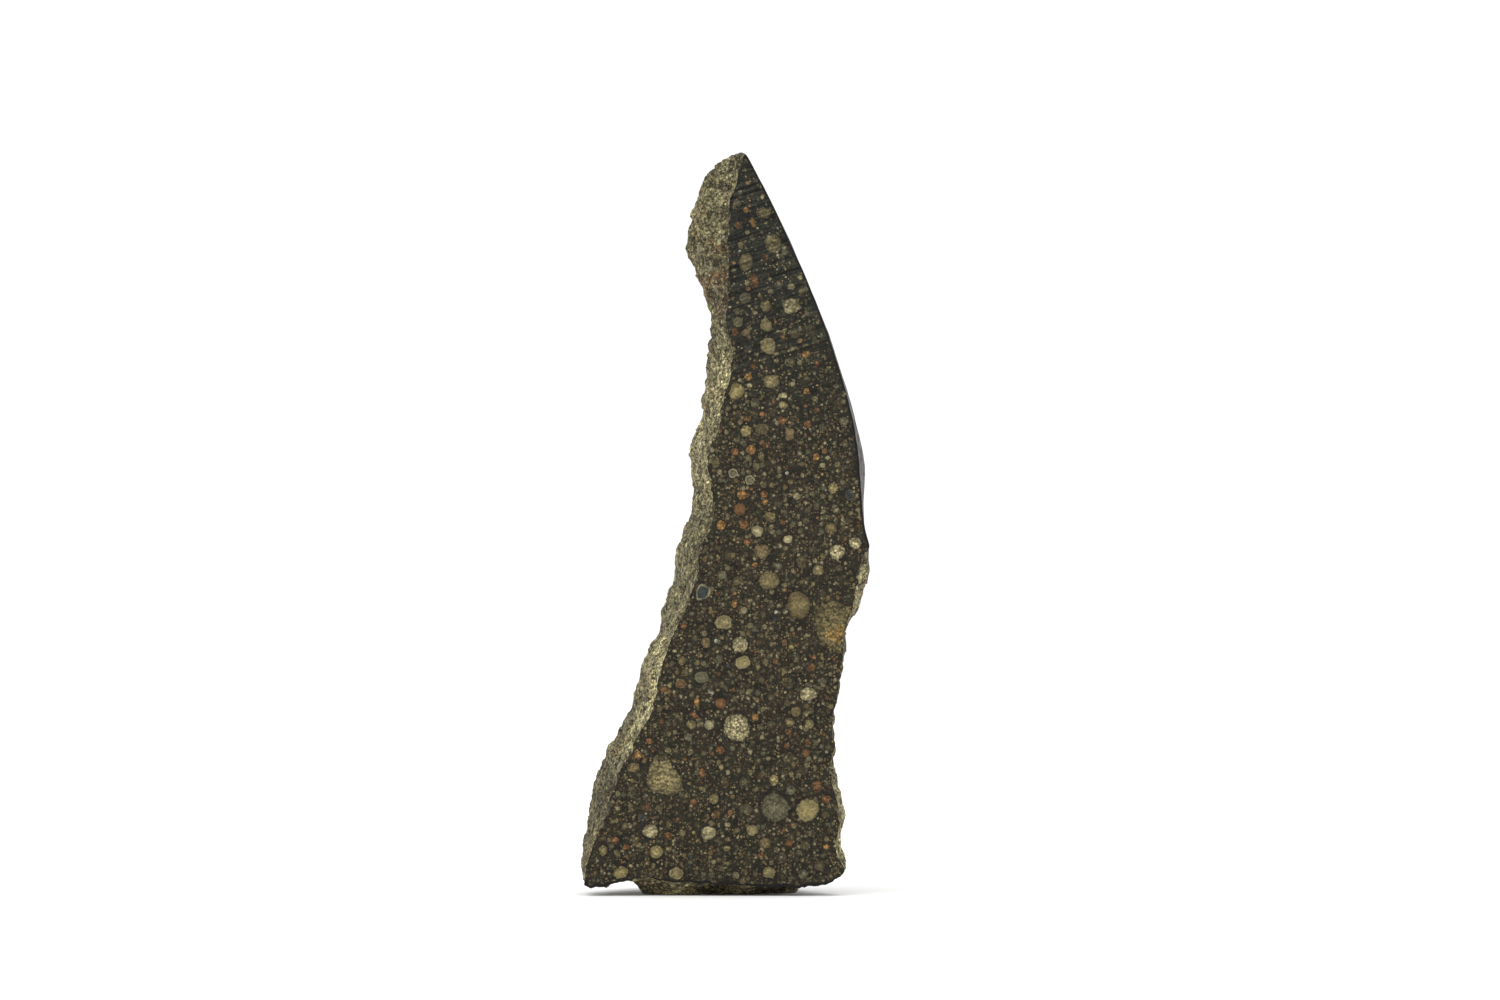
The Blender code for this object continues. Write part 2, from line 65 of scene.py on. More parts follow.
SAWN_FACE_Y = -4.5           # where the saw's plane lies

print("CAD box in mm:", [[round(value / MM, 2) for value in corner] for corner in cad_box])

# %% [markdown]
# ## The studio
#
# The photograph was taken straight on, from a little over a third of a metre, on a white table in
# even light. So the world is white, with a broad lamp at the upper left, a weaker one at the right
# and one behind for the other views. The Standard view transform keeps white white.

# %% Camera
CAMERA_PLACE = Vector((1.005, -354.5, 15.92)) * MM
LENS = 209.0
SENSOR = 36.0

scene = bpy.context.scene
scene.view_settings.view_transform = "Standard"


def show(name, data):
    """Puts something new into the scene."""
    thing = bpy.data.objects.new(name, data)
    scene.collection.objects.link(thing)
    return thing


camera = show("camera", bpy.data.cameras.new("camera"))
camera.location = CAMERA_PLACE
camera.rotation_euler = (math.radians(90.0), 0.0, 0.0)
camera.data.lens = LENS
camera.data.sensor_width = SENSOR
camera.data.clip_start = 0.01
scene.camera = camera
print("camera at", [round(v / MM, 1) for v in camera.location], "mm")

# %% Lamps, world and table
# Each lamp's place and size in millimetres, and its power in watts
LAMPS = {
    "key light": ((-160.0, -190.0, 400.0), 240.0, 0.7),
    "right light": ((330.0, -150.0, 160.0), 160.0, 0.2),
    "back light": ((60.0, 330.0, 330.0), 220.0, 0.4),
}
AIM = (0.0, 0.0, 14.0)       # the middle of the stone
ROOM_LIGHT = 1.09            # just enough for the table's far end to be as white as the room
TABLE_WHITE = 0.93
REACH = 2.5                  # half the table's side, in metres

for name, (place, width, power) in LAMPS.items():
    light = show(name, bpy.data.lights.new(name, "AREA"))
    light.data.size = width * MM
    light.data.energy = power
    light.location = Vector(place) * MM
    light.rotation_euler = (Vector(AIM) - Vector(place)).to_track_quat("-Z", "Y").to_euler()

world = bpy.data.worlds.new("white room")
world.use_nodes = True
world.node_tree.nodes["Background"].inputs["Color"].default_value = (1.0, 1.0, 1.0, 1.0)
world.node_tree.nodes["Background"].inputs["Strength"].default_value = ROOM_LIGHT
scene.world = world

table_mesh = bpy.data.meshes.new("table")
corners = [(-REACH, -REACH, 0.0), (REACH, -REACH, 0.0), (REACH, REACH, 0.0), (-REACH, REACH, 0.0)]
table_mesh.from_pydata(corners, [], [(0, 1, 2, 3)])
table = show("table", table_mesh)
white = bpy.data.materials.new("white_table")
white.use_nodes = True
white_shader = white.node_tree.nodes["Principled BSDF"]
white_shader.inputs["Base Color"].default_value = (TABLE_WHITE, TABLE_WHITE, TABLE_WHITE, 1.0)
white_shader.inputs["Roughness"].default_value = 0.9
table_mesh.materials.append(white)
print("lamps:", len(LAMPS))

# %% [markdown]
# ## A working copy of the stone
#
# The CAD node stays as it is. Its copy is worked in millimetres, because the voxel remesh can't go
# finer than a ten thousandth of a unit. Its corners are merged, and its flat front is drawn
# forwards, like a stone that hasn't been sawn yet. The saw comes later, once the sides have their
# grain: that gives the sawn face an edge as ragged as the real one.

# %% The stone before the saw
SAW_ALLOWANCE = 0.5          # how far the uncut stone reaches in front of the saw's plane
SAME_POINT = 0.001           # corners this near are one corner
ON_PLANE = 0.002             # a point this near to the saw's plane lies on it

uncut_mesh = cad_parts["meteorite"].data.copy()
bm = bmesh.new()
bm.from_mesh(uncut_mesh)
bmesh.ops.scale(bm, vec=(1.0 / MM,) * 3, verts=bm.verts[:])
bmesh.ops.remove_doubles(bm, verts=bm.verts[:], dist=SAME_POINT)
front = [f for f in bm.faces if all(abs(v.co.y - SAWN_FACE_Y) < ON_PLANE for v in f.verts)]
bmesh.ops.delete(bm, geom=front, context="FACES")
edge = [e for e in bm.edges if e.is_boundary]
drawn = bmesh.ops.extrude_edge_only(bm, edges=edge)
ahead = [g for g in drawn["geom"] if isinstance(g, bmesh.types.BMVert)]
bmesh.ops.translate(bm, vec=(0.0, -SAW_ALLOWANCE, 0.0), verts=ahead)
bmesh.ops.triangle_fill(bm, edges=[e for e in bm.edges if e.is_boundary], use_beauty=True)
bmesh.ops.recalc_face_normals(bm, faces=bm.faces[:])
print("open edges before the remesh:", sum(e.is_boundary for e in bm.edges))
bm.to_mesh(uncut_mesh)
bm.free()

# %% [markdown]
# ## An even, fine mesh
#
# Relief needs points everywhere. A voxel remesh lays an even net over the stone, and a few passes
# of smoothing take off the facets that the CAD left.

# %% Remesh and smooth
FINE_GRID = 0.105            # the size of the even faces
SMOOTHING_PASSES = 6

uncut = show("uncut stone", uncut_mesh)
even = uncut.modifiers.new("even faces", "REMESH")
even.mode = "VOXEL"
even.voxel_size = FINE_GRID
soft = uncut.modifiers.new("no facets", "SMOOTH")
soft.factor = 0.5
soft.iterations = SMOOTHING_PASSES


def settled(thing):
    """Turns an object's live modifiers into a plain mesh."""
    bpy.context.view_layer.update()
    graph = bpy.context.evaluated_depsgraph_get()
    result = bpy.data.meshes.new_from_object(thing.evaluated_get(graph))
    thing.modifiers.clear()
    thing.data = result
    return result


fine = settled(uncut)
fine.shade_smooth()
print("even faces:", len(fine.polygons))

# %% [markdown]
# ## Where the crust is
#
# The natural crust covers the upper right and the upper back, and the CAD solid has a small step
# where it ends. The same rule as in the part's source marks each point here: 1 on the crust, 0 on
# broken rock. Three borders bound it: a wandering line right of the spine, the chip beside the
# sawn face, and the broken facet at the face's upper left. Relief and materials read the mark.

# %% The borders of the crust
# Rows of (height, x): the spine down the back, and how far right of it the crust ends
SPINE = ((0.0, -0.5), (6.0, -0.1), (12.0, 1.3), (18.0, 1.9), (24.0, 1.2), (30.0, 0.2))
CRUST_LIMIT = ((0.0, 9.0), (6.5, 5.0), (9.0, 2.6), (13.0, 0.9), (17.0, -0.4), (23.0, -1.3),
               (30.0, -1.6))
CRUST_WANDER = 1.3           # how far the border strays from that line
CHIP_TOP = 13.9              # height at which the crust ends beside the sawn face
# The left edge of the sawn face near the top: left of it the flank is broken
FLANK_EDGE = ((14.0, -1.0), (16.0, -0.45), (18.0, -0.6), (20.0, 0.0), (22.0, 0.3), (26.0, 0.2),
              (28.2, 0.3), (30.0, 0.75))
FLANK_DEPTH = 3.0            # how far back the broken facet reaches
BORDER = 0.15                # half the width over which crust turns to rock


def smooth_step(low, high, value):
    share = min(max((value - low) / (high - low), 0.0), 1.0)
    return share * share * (3.0 - 2.0 * share)


def table_value(rows, at):
    """Reads a value between the rows of a table, with a smooth turn at each row."""
    if at <= rows[0][0]:
        return rows[0][1]
    for (a, low), (b, high) in zip(rows, rows[1:]):
        if at <= b:
            return low + (high - low) * (0.35 * smooth_step(a, b, at) + 0.65 * (at - a) / (b - a))
    return rows[-1][1]


def crust_share(point):
    """1 on the natural crust, 0 on broken rock."""
    wander = CRUST_WANDER * (noise.noise(point * 0.6) + 0.5 * noise.noise(point * 1.7))
    limit = table_value(CRUST_LIMIT, point.z)
    right_of_limit = point.x - table_value(SPINE, point.z) - limit + wander
    depth = point.y - SAWN_FACE_Y
    above_chip = point.z - CHIP_TOP + 1.1 * max(0.0, depth - 1.0)
    above_chip += 1.6 * wander * smooth_step(0.1, 1.5, depth)
    past_flank = point.x - table_value(FLANK_EDGE, point.z) - 0.05
    right_of_flank = max(past_flank, 1.5 * (depth - FLANK_DEPTH) + wander)
    return smooth_step(-BORDER, BORDER, min(right_of_limit, above_chip, right_of_flank))


# %% Mark the crust
crust_marks = [crust_share(v.co) for v in fine.vertices]
fine.attributes.new("crust", "FLOAT", "POINT").data.foreach_set("value", crust_marks)
print("share of the points with crust:", round(sum(crust_marks) / len(crust_marks), 2))

# %% [markdown]
# ## Short words for nodes
#
# Geometry Nodes and materials are both trees of nodes, built here in code. These helpers add a
# node, fill its inputs and hand back what comes out, so that a tree reads almost like a recipe.

# %% Helpers for node trees
def plug(tree, socket, value):
    """Joins an input to another node's output, or gives it a fixed value."""
    if isinstance(value, bpy.types.NodeSocket):
        tree.links.new(value, socket)
    else:
        socket.default_value = value


def node(tree, kind, ins=(), **settings):
    """Adds a node with its settings, and fills its inputs."""
    made = tree.nodes.new(kind)
    for name, value in settings.items():
        setattr(made, name, value)
    for name, value in dict(ins).items():
        plug(tree, made.inputs[name], value)
    return made


def calc(tree, operation, *values):
    """One sum on numbers, such as calc(tree, "DIVIDE", a, b)."""
    return node(tree, "ShaderNodeMath", enumerate(values), operation=operation).outputs[0]


def times(tree, first, *others):
    for other in others:
        first = calc(tree, "MULTIPLY", first, other)
    return first


def plus(tree, first, *others):
    for other in others:
        first = calc(tree, "ADD", first, other)
    return first


def minus(tree, first, second):
    return calc(tree, "SUBTRACT", first, second)


def vector_calc(tree, operation, *values):
    """One sum on vectors. DOT_PRODUCT and DISTANCE give a number."""
    made = node(tree, "ShaderNodeVectorMath", enumerate(values), operation=operation)
    return made.outputs["Value" if operation in ("DOT_PRODUCT", "DISTANCE") else "Vector"]


def scaled(tree, vector, by):
    """A vector made longer or shorter, or a colour made lighter or darker."""
    made = node(tree, "ShaderNodeVectorMath", {0: vector, "Scale": by}, operation="SCALE")
    return made.outputs["Vector"]


def split(tree, vector):
    return node(tree, "ShaderNodeSeparateXYZ", {0: vector}).outputs


# %% Helpers for patterns
def between(tree, value, low, high, first=0.0, last=1.0):
    """Goes smoothly from first to last as a value goes from low to high."""
    ins = {"Value": value, "From Min": low, "From Max": high, "To Min": first, "To Max": last}
    return node(tree, "ShaderNodeMapRange", ins, interpolation_type="SMOOTHSTEP").outputs["Result"]


def window(tree, value, start, full, fading, end):
    """1 between full and fading, sinking to 0 at start and at end."""
    return times(tree, between(tree, value, start, full), between(tree, value, end, fading))


def cloudy(tree, place, per_mm, detail=3.0, roughness=0.55):
    """Soft random blotches, as a number round 0.5."""
    ins = {"Vector": place, "Scale": per_mm, "Detail": detail, "Roughness": roughness}
    return node(tree, "ShaderNodeTexNoise", ins).outputs[0]


def mottled(tree, place, per_mm, low, high, detail=4.0, roughness=0.7):
    """Soft random blotches that reach from low to high."""
    return between(tree, cloudy(tree, place, per_mm, detail, roughness), 0.3, 0.7, low, high)


def cells(tree, place, per_mm, feature="F1"):
    """Random cells, with the distance to each one's middle and a colour for each."""
    return node(tree, "ShaderNodeTexVoronoi", {"Vector": place, "Scale": per_mm}, feature=feature)


def pushed(tree, place, per_mm, by, detail=3.0):
    """A place moved aside by soft noise, so that straight lines in a pattern become wavy."""
    push = node(tree, "ShaderNodeTexNoise", {"Vector": place, "Scale": per_mm, "Detail": detail})
    return vector_calc(tree, "ADD", place, scaled(tree, push.outputs["Color"], by))


# %% [markdown]
# ## The relief of the broken rock
#
# Where the stone broke, chondrules stand out as knobs or have dropped out and left sockets. A
# Geometry Nodes tree makes thousands of them: it spreads points over the broken rock, gives each a
# radius, and asks for each point of the mesh how far it lies from the nearest one. Inside that
# radius the surface rises as a dome or sinks as a socket. The forms are low at the saw's edge,
# where they would show in the outline of the face, and grow towards the back.

# %% Sizes of the relief
RELIEF = {
    "Chondrule spacing": 0.78,
    "Smallest radius": 0.12,
    "Largest radius": 0.36,
    "Share of sockets": 0.35,
    "Chondrule height": 0.26,     # as a share of the radius
    "Growth inwards": 2.4,        # how much higher the knobs are behind the sawn edge
    "Facet size": 0.62,
    "Facet height": 0.22,
    "Grit size": 0.2,
    "Grit height": 0.07,
    "Lump height": 0.26,
    "Hollow depth": 0.24,
    "Ripple height": 0.07,
    "Thumbprint depth": 0.3,
    "Inset": 0.06,                # how far broken rock lies behind the CAD's surface
    "Seed": 5,
}
MOST_PER_AREA = 9.0          # the most chondrules in a square millimetre, before spacing thins them
GROWS_FROM, GROWN_AT = 0.0, 3.0


def new_tree(name, sizes):
    """A Geometry Nodes tree with a geometry input, a geometry output and one input for each size."""
    tree = bpy.data.node_groups.new(name, "GeometryNodeTree")
    tree.interface.new_socket("Geometry", in_out="INPUT", socket_type="NodeSocketGeometry")
    tree.interface.new_socket("Geometry", in_out="OUTPUT", socket_type="NodeSocketGeometry")
    for label, value in sizes.items():
        kind = "NodeSocketInt" if isinstance(value, int) else "NodeSocketFloat"
        tree.interface.new_socket(label, in_out="INPUT", socket_type=kind).default_value = value
    return tree, tree.nodes.new("NodeGroupInput"), tree.nodes.new("NodeGroupOutput")


relief_tree, size_in, relief_out = new_tree("broken rock relief", RELIEF)
size = {label: size_in.outputs[label] for label in RELIEF}
print("sizes in the relief tree:", len(size))

# %% Knobs and sockets
t = relief_tree


def named(tree, name, kind="FLOAT"):
    made = node(tree, "GeometryNodeInputNamedAttribute", {"Name": name}, data_type=kind)
    return made.outputs["Attribute"]


def random_number(tree, low, high, seed):
    ins = {2: low, 3: high, "Seed": seed}
    return node(tree, "FunctionNodeRandomValue", ins, data_type="FLOAT").outputs[1]


here = node(t, "GeometryNodeInputPosition").outputs[0]
here_axis = split(t, here)
depth = here_axis["Y"]
bare = minus(t, 1.0, named(t, "crust"))
middles = node(t, "GeometryNodeDistributePointsOnFaces", {
    "Mesh": size_in.outputs["Geometry"], "Distance Min": size["Chondrule spacing"],
    "Density Max": MOST_PER_AREA, "Density Factor": bare, "Seed": size["Seed"],
}, distribute_method="POISSON").outputs["Points"]
to_nearest = {"Geometry": middles, "Sample Position": here}
nearest = node(t, "GeometryNodeSampleNearest", to_nearest, domain="POINT").outputs[0]


def from_nearest(value, kind="FLOAT"):
    """Reads a value from the nearest chondrule's middle."""
    ins = {"Geometry": middles, "Value": value, "Index": nearest}
    return node(t, "GeometryNodeSampleIndex", ins, data_type=kind, domain="POINT").outputs[0]


middle = from_nearest(here, "FLOAT_VECTOR")
radius = from_nearest(random_number(t, size["Smallest radius"], size["Largest radius"], 1))
luck = from_nearest(random_number(t, 0.0, 1.0, 2))
out = calc(t, "DIVIDE", vector_calc(t, "DISTANCE", here, middle), radius)
up_or_down = minus(t, times(t, calc(t, "GREATER_THAN", luck, size["Share of sockets"]), 2.0), 1.0)
dome = calc(t, "SQRT", calc(t, "MAXIMUM", minus(t, 1.0, times(t, out, out)), 0.0))
growth = between(t, depth, GROWS_FROM, GROWN_AT, 1.0, size["Growth inwards"])
dome = times(t, dome, up_or_down, radius, size["Chondrule height"], growth)

# %% [markdown]
# ### Facets, grit, lumps and hollows
#
# Cells, each with a small tilt of its own, make flat facets. Finer cells make grit and soft noise
# makes lumps. On the unseen back a few shallow hollows break up the slope, but stop short of the
# farthest point, because the stone has to keep its depth.

# %% The break and the crust
HOLLOWS_START = (-2.0, 1.0)  # the depths between which the hollows begin
HOLLOWS_END = (3.4, 4.3)     # and those between which they stop

wavy = pushed(t, here, 1.6, 0.5, 2.0)
facet = cells(t, wavy, calc(t, "DIVIDE", 1.0, size["Facet size"]))
tilt = vector_calc(t, "SUBTRACT", facet.outputs["Color"], (0.5, 0.5, 0.5))
from_middle = vector_calc(t, "SUBTRACT", wavy, facet.outputs["Position"])
facets = times(t, vector_calc(t, "DOT_PRODUCT", from_middle, tilt), size["Facet height"])
grit_out = cells(t, here, calc(t, "DIVIDE", 1.0, size["Grit size"])).outputs["Distance"]
grit = times(t, minus(t, 0.5, grit_out), size["Grit height"])
lumps = times(t, minus(t, cloudy(t, here, 1.1, 5.0, 0.6), 0.5), size["Lump height"])
hollow = between(t, cloudy(t, here, 0.42, 2.0), 0.44, 0.66)
hollow = times(t, hollow, window(t, depth, *HOLLOWS_START, *HOLLOWS_END), size["Hollow depth"])
broken = minus(t, minus(t, plus(t, dome, facets, grit, lumps), size["Inset"]), hollow)

ripples = times(t, minus(t, cloudy(t, here, 0.9, 3.0), 0.5), size["Ripple height"])
ins = {"Vector": wavy, "Scale": 0.45, "Smoothness": 0.6}
melted = node(t, "ShaderNodeTexVoronoi", ins, feature="SMOOTH_F1").outputs["Distance"]
thumbprint = times(t, minus(t, melted, 0.55), size["Thumbprint depth"])
ripples = plus(t, ripples, times(t, thumbprint, between(t, depth, -4.2, -2.0)))

# %% [markdown]
# ### Move the points
#
# The crust's mark joins the two reliefs, and the height fades out just above the table so that the
# foot stays flat. Named attributes store what the tree did, so the material can colour each
# chondrule in the very place where it stands out.

# %% Store and lift
def keep(tree, shape, name, value):
    """Stores a number on each point under a name."""
    ins = {"Geometry": shape, "Name": name, "Value": value}
    made = node(tree, "GeometryNodeStoreNamedAttribute", ins, data_type="FLOAT", domain="POINT")
    return made.outputs[0]


height = plus(t, times(t, broken, bare), times(t, ripples, named(t, "crust")))
height = times(t, height, between(t, here_axis["Z"], 0.03, 0.3))

shape = keep(t, size_in.outputs["Geometry"], "relief", height)
shape = keep(t, shape, "knob", out)
shape = keep(t, shape, "knob_luck", luck)
offset = scaled(t, node(t, "GeometryNodeInputNormal").outputs[0], named(t, "relief"))
shape = node(t, "GeometryNodeSetPosition", {"Geometry": shape, "Offset": offset}).outputs[0]
t.links.new(shape, relief_out.inputs["Geometry"])
print("nodes in the relief tree:", len(t.nodes))

# %% Give the stone its relief
def add_tree(thing, tree, sizes):
    """Adds a Geometry Nodes modifier, and sets its inputs by their identifiers."""
    modifier = thing.modifiers.new(tree.name, "NODES")
    modifier.node_group = tree
    for item in tree.interface.items_tree:
        if item.in_out == "INPUT" and item.name in sizes:
            modifier[item.identifier] = sizes[item.name]


add_tree(uncut, relief_tree, RELIEF)
rugged = settled(uncut)
print("points:", len(rugged.vertices), "attributes:", [a.name for a in rugged.attributes])

# %% [markdown]
# ## The saw
#
# One plane cuts the front off, the foot is worn flat on the table, and the relief is kept inside
# the CAD's box. What is left is open in front, with a ragged edge round the opening. The new layers
# hold the colours and places that the face's material will read.

# %% Saw the front and wear the foot
LEVEL = 0.0                  # the height of the table

bm = bmesh.new()
bm.from_mesh(rugged)
tone_layer = bm.faces.layers.float_color.new("tone")
look_layer = bm.faces.layers.float_vector.new("look")
out_layer = bm.verts.layers.float.new("grain_out")
edge_layer = bm.verts.layers.float.new("near_edge")
box_low, box_high = [[value / MM for value in corner] for corner in cad_box]
for vert in bm.verts:
    vert.co.x = min(max(vert.co.x, box_low[0]), box_high[0])
    vert.co.y = min(vert.co.y, box_high[1])
    vert.co.z = min(max(vert.co.z, LEVEL), box_high[2])
bmesh.ops.bisect_plane(
    bm, geom=bm.verts[:] + bm.edges[:] + bm.faces[:], dist=ON_PLANE,
    plane_co=(0.0, SAWN_FACE_Y, 0.0), plane_no=(0.0, -1.0, 0.0), clear_outer=True)
bm.edges.index_update()
print("points behind the saw's plane:", len(bm.verts))


# %% Follow the edge of the opening
def rings_of_edge(bm):
    """The open edges, joined end to end, longest ring first."""
    left = {e for e in bm.edges if e.is_boundary}
    rings = []
    while left:
        first = min(left, key=lambda e: e.index)
        ring = [first.verts[0]]
        at = first.verts[1]
        left.discard(first)
        while at is not ring[0]:
            ring.append(at)
            step = next(e for e in at.link_edges if e in left)
            left.discard(step)
            at = step.other_vert(at)
        rings.append(ring)
    return sorted(rings, key=len, reverse=True)


edge_rings = rings_of_edge(bm)
print("rings at the saw's plane:", [len(ring) for ring in edge_rings])
stone_edge = edge_rings[0]
flat_edge = [Vector((v.co.x, v.co.z)) for v in stone_edge]
if sum(a.x * b.y - b.x * a.y for a, b in zip(flat_edge, flat_edge[1:] + flat_edge[:1])) < 0.0:
    stone_edge.reverse()
    flat_edge.reverse()

# %% [markdown]
# ## The chondrules in the sawn face
#
# The saw has cut through hundreds of chondrules. The hundred or so that catch the eye are listed
# one by one, each as an oval with a tone, because a cell texture would put none of them where it
# should be. Each becomes an outline in the mesh with one point in its middle, so a single number, 0
# in the middle and 1 on the outline, gives the material a clean place inside every chondrule.

# %% The marked chondrules
# Each is (x, z, half width, half height), then how speckled it is and how strong its rim is.
# A rim below zero is rusty.
MARKED = {
    "cream": (
        (0.48, 6.75, 0.56, 0.56, 1), (2.69, 23.71, 0.4, 0.32, 0.9), (0.6, 10.09, 0.32, 0.36, 0.9),
        (4.5, 13.83, 0.32, 0.32, 1, 0.2), (5.23, 14.19, 0.26, 0.26, 1, 0.2),
        (3.34, 8.12, 0.36, 0.28, 0.8), (-3.01, 2.61, 0.32, 0.28, 0.7),
        (-0.68, 2.53, 0.32, 0.28, 0.8, 0.2), (2.33, 20.1, 0.24, 0.16, 0.7),
        (2.53, 14.35, 0.24, 0.16, 0.5), (-0.64, 6.87, 0.2, 0.2, 0.4), (1.29, 14.67, 0.24, 0.24, 0.4),
        (0.76, 11.48, 0.18, 0.14, 0.6),
    ),
    "straw": (
        (0.72, 9.41, 0.36, 0.28, 0.3, 0.7), (0.4, 20.3, 0.4, 0.36), (0.84, 18.69, 0.24, 0.24),
        (-4.18, 0.88, 0.32, 0.32, 0.4), (1.97, 4.66, 0.2, 0.24), (4.34, 16.4, 0.2, 0.24),
        (-0.52, 16.4, 0.16, 0.2), (-0.64, 16.04, 0.14, 0.16), (3.3, 3.46, 0.46, 0.46, 0.35, 0.2),
        (-2.77, 1.77, 0.28, 0.28, 0.5),
    ),
    "olive": (
        (1.93, 26.21, 0.36, 0.36, 0.9), (1.73, 22.11, 0.32, 0.36, 0.4, 0.2),
        (1.69, 22.95, 0.28, 0.28, 0.4, 0.2), (1.89, 20.7, 0.4, 0.28, 0.6),
        (-0.04, 11.01, 0.4, 0.28, 0.5, 0.6), (0.84, 25.48, 0.28, 0.44, 0.6),
        (1.53, 27.41, 0.32, 0.28), (3.74, 13.1, 0.24, 0.24), (2.33, 19.77, 0.2, 0.2),
        (1.65, 23.71, 0.24, 0.24, 0.8), (1.09, 2.65, 0.24, 0.24, 0.4), (3.38, 6.91, 0.2, 0.2),
        (1.77, 0.96, 0.28, 0.24, 0.4), (-1.97, 0.88, 0.3, 0.3, 0.5, 0.7),
    ),
    "brown": (
        (2.98, 11.7, 0.48, 0.6, 0.35, -0.35), (1.81, 12.7, 0.48, 0.4), (-1.37, 6.87, 0.2, 0.24),
        (1.81, 15.27, 0.24, 0.2),
    ),
    "sage": (
        (2.05, 3.54, 0.6, 0.56, 0.6, 0.1), (-0.92, 8.8, 0.32, 0.24, 0.3, 0.2),
        (-0.12, 12.9, 0.2, 0.2), (0.52, 23.07, 0.2, 0.2, 0.3, 0.5), (3.14, 0.88, 0.2, 0.2),
        (2.61, 4.26, 0.24, 0.2), (-1.49, 6.39, 0.16, 0.28), (0.32, 17.0, 0.2, 0.2, 0.3, 0.8),
        (1.0, 16.72, 0.2, 0.2, 0.3, 0.8), (0.44, 0.84, 0.14, 0.14, 0.3, 0.9),
        (2.13, 13.26, 0.2, 0.2), (1.21, 19.82, 0.2, 0.2), (4.78, 19.09, 0.2, 0.2),
        (0.8, 24.04, 0.24, 0.24, 0.5, 0.3),
    ),
    "slate": (
        (-0.93, 12.22, 0.36, 0.36, 0.1, 0.9), (4.94, 1.37, 0.24, 0.2),
    ),
    "pink": (
        (1.49, 13.87, 0.36, 0.28, 0.6), (-0.76, 10.17, 0.2, 0.24, 0.7),
        (2.61, 18.57, 0.2, 0.36, 0.4), (4.26, 14.75, 0.24, 0.24), (2.85, 7.4, 0.2, 0.24, 0.4),
        (1.61, 2.13, 0.24, 0.24), (-3.66, 5.18, 0.32, 0.2), (2.61, 6.99, 0.2, 0.2),
        (-1.73, 9.45, 0.16, 0.2),
    ),
    "amber": (
        (1.09, 27.09, 0.36, 0.2), (0.84, 27.57, 0.12, 0.12), (0.36, 11.74, 0.12, 0.16),
        (0.4, 12.18, 0.08, 0.08), (1.21, 13.3, 0.12, 0.12), (1.05, 17.93, 0.2, 0.2),
        (0.68, 16.12, 0.2, 0.2), (-0.16, 14.91, 0.2, 0.2), (3.26, 21.78, 0.16, 0.16),
        (-1.13, 7.8, 0.12, 0.2), (-3.5, 5.67, 0.16, 0.16), (1.61, 15.84, 0.12, 0.12),
        (3.26, 20.3, 0.32, 0.12), (1.21, 7.19, 0.16, 0.16), (2.01, 23.07, 0.1, 0.1),
        (0.92, 20.86, 0.16, 0.16), (4.06, 1.97, 0.12, 0.12), (3.66, 17.64, 0.16, 0.16),
    ),
    "rust": (
        (0.6, 26.97, 0.32, 0.16), (1.17, 24.72, 0.2, 0.32), (0.4, 22.67, 0.16, 0.16),
        (2.33, 22.47, 0.1, 0.1), (3.7, 21.42, 0.12, 0.12), (1.13, 21.3, 0.12, 0.12),
        (0.88, 19.17, 0.12, 0.12), (1.49, 19.37, 0.12, 0.12), (2.29, 19.13, 0.16, 0.16),
        (0.4, 17.85, 0.16, 0.16), (1.57, 16.16, 0.16, 0.16), (0.76, 14.95, 0.2, 0.2),
        (2.33, 15.03, 0.12, 0.12), (0.88, 14.23, 0.16, 0.12), (-1.69, 10.85, 0.16, 0.12),
        (-1.25, 7.27, 0.2, 0.12), (-0.2, 5.87, 0.2, 0.16), (-3.01, 6.23, 0.2, 0.12),
        (-0.92, 4.94, 0.12, 0.2), (-4.42, 2.25, 0.16, 0.16), (-3.98, 1.97, 0.16, 0.12),
        (-2.29, 2.41, 0.2, 0.16), (1.45, 1.65, 0.12, 0.12), (2.05, 9.45, 0.12, 0.12),
        (3.58, 9.61, 0.1, 0.1), (2.53, 6.59, 0.12, 0.12), (2.49, 6.03, 0.12, 0.12),
        (1.65, 25.68, 0.12, 0.12), (3.34, 6.15, 0.16, 0.16), (3.26, 5.79, 0.16, 0.2),
        (4.06, 3.9, 0.2, 0.16), (2.57, 2.13, 0.16, 0.16), (3.3, 18.97, 0.16, 0.16),
    ),
    "white": (
        (2.49, 17.0, 0.08, 0.08), (2.89, 12.46, 0.08, 0.08), (2.05, 11.41, 0.08, 0.08),
        (-0.36, 10.25, 0.09, 0.09), (0.6, 25.92, 0.07, 0.07), (-0.52, 8.16, 0.07, 0.07),
    ),
}
print("marked ovals:", sum(len(rows) for rows in MARKED.values()))

# %% Their tones, as screen colours
TONES = {
    "cream": (152, 142, 106), "straw": (136, 124, 82), "olive": (124, 113, 78),
    "brown": (110, 99, 66), "sage": (92, 88, 67), "slate": (54, 58, 57), "pink": (110, 96, 66),
    "amber": (138, 104, 60), "rust": (112, 80, 50), "white": (158, 156, 138), "tan": (106, 95, 66),
    "pebble": (84, 78, 56), "ochre": (132, 108, 62),
}
PLAIN_SPECKLE = 0.6          # how speckled a grain is unless its row or its tone says otherwise
SPECKLED = {"amber": 0.8, "rust": 0.8}
STAIN = "ochre"              # this tone lies inside another fragment, as a stain
print("tones:", len(TONES))

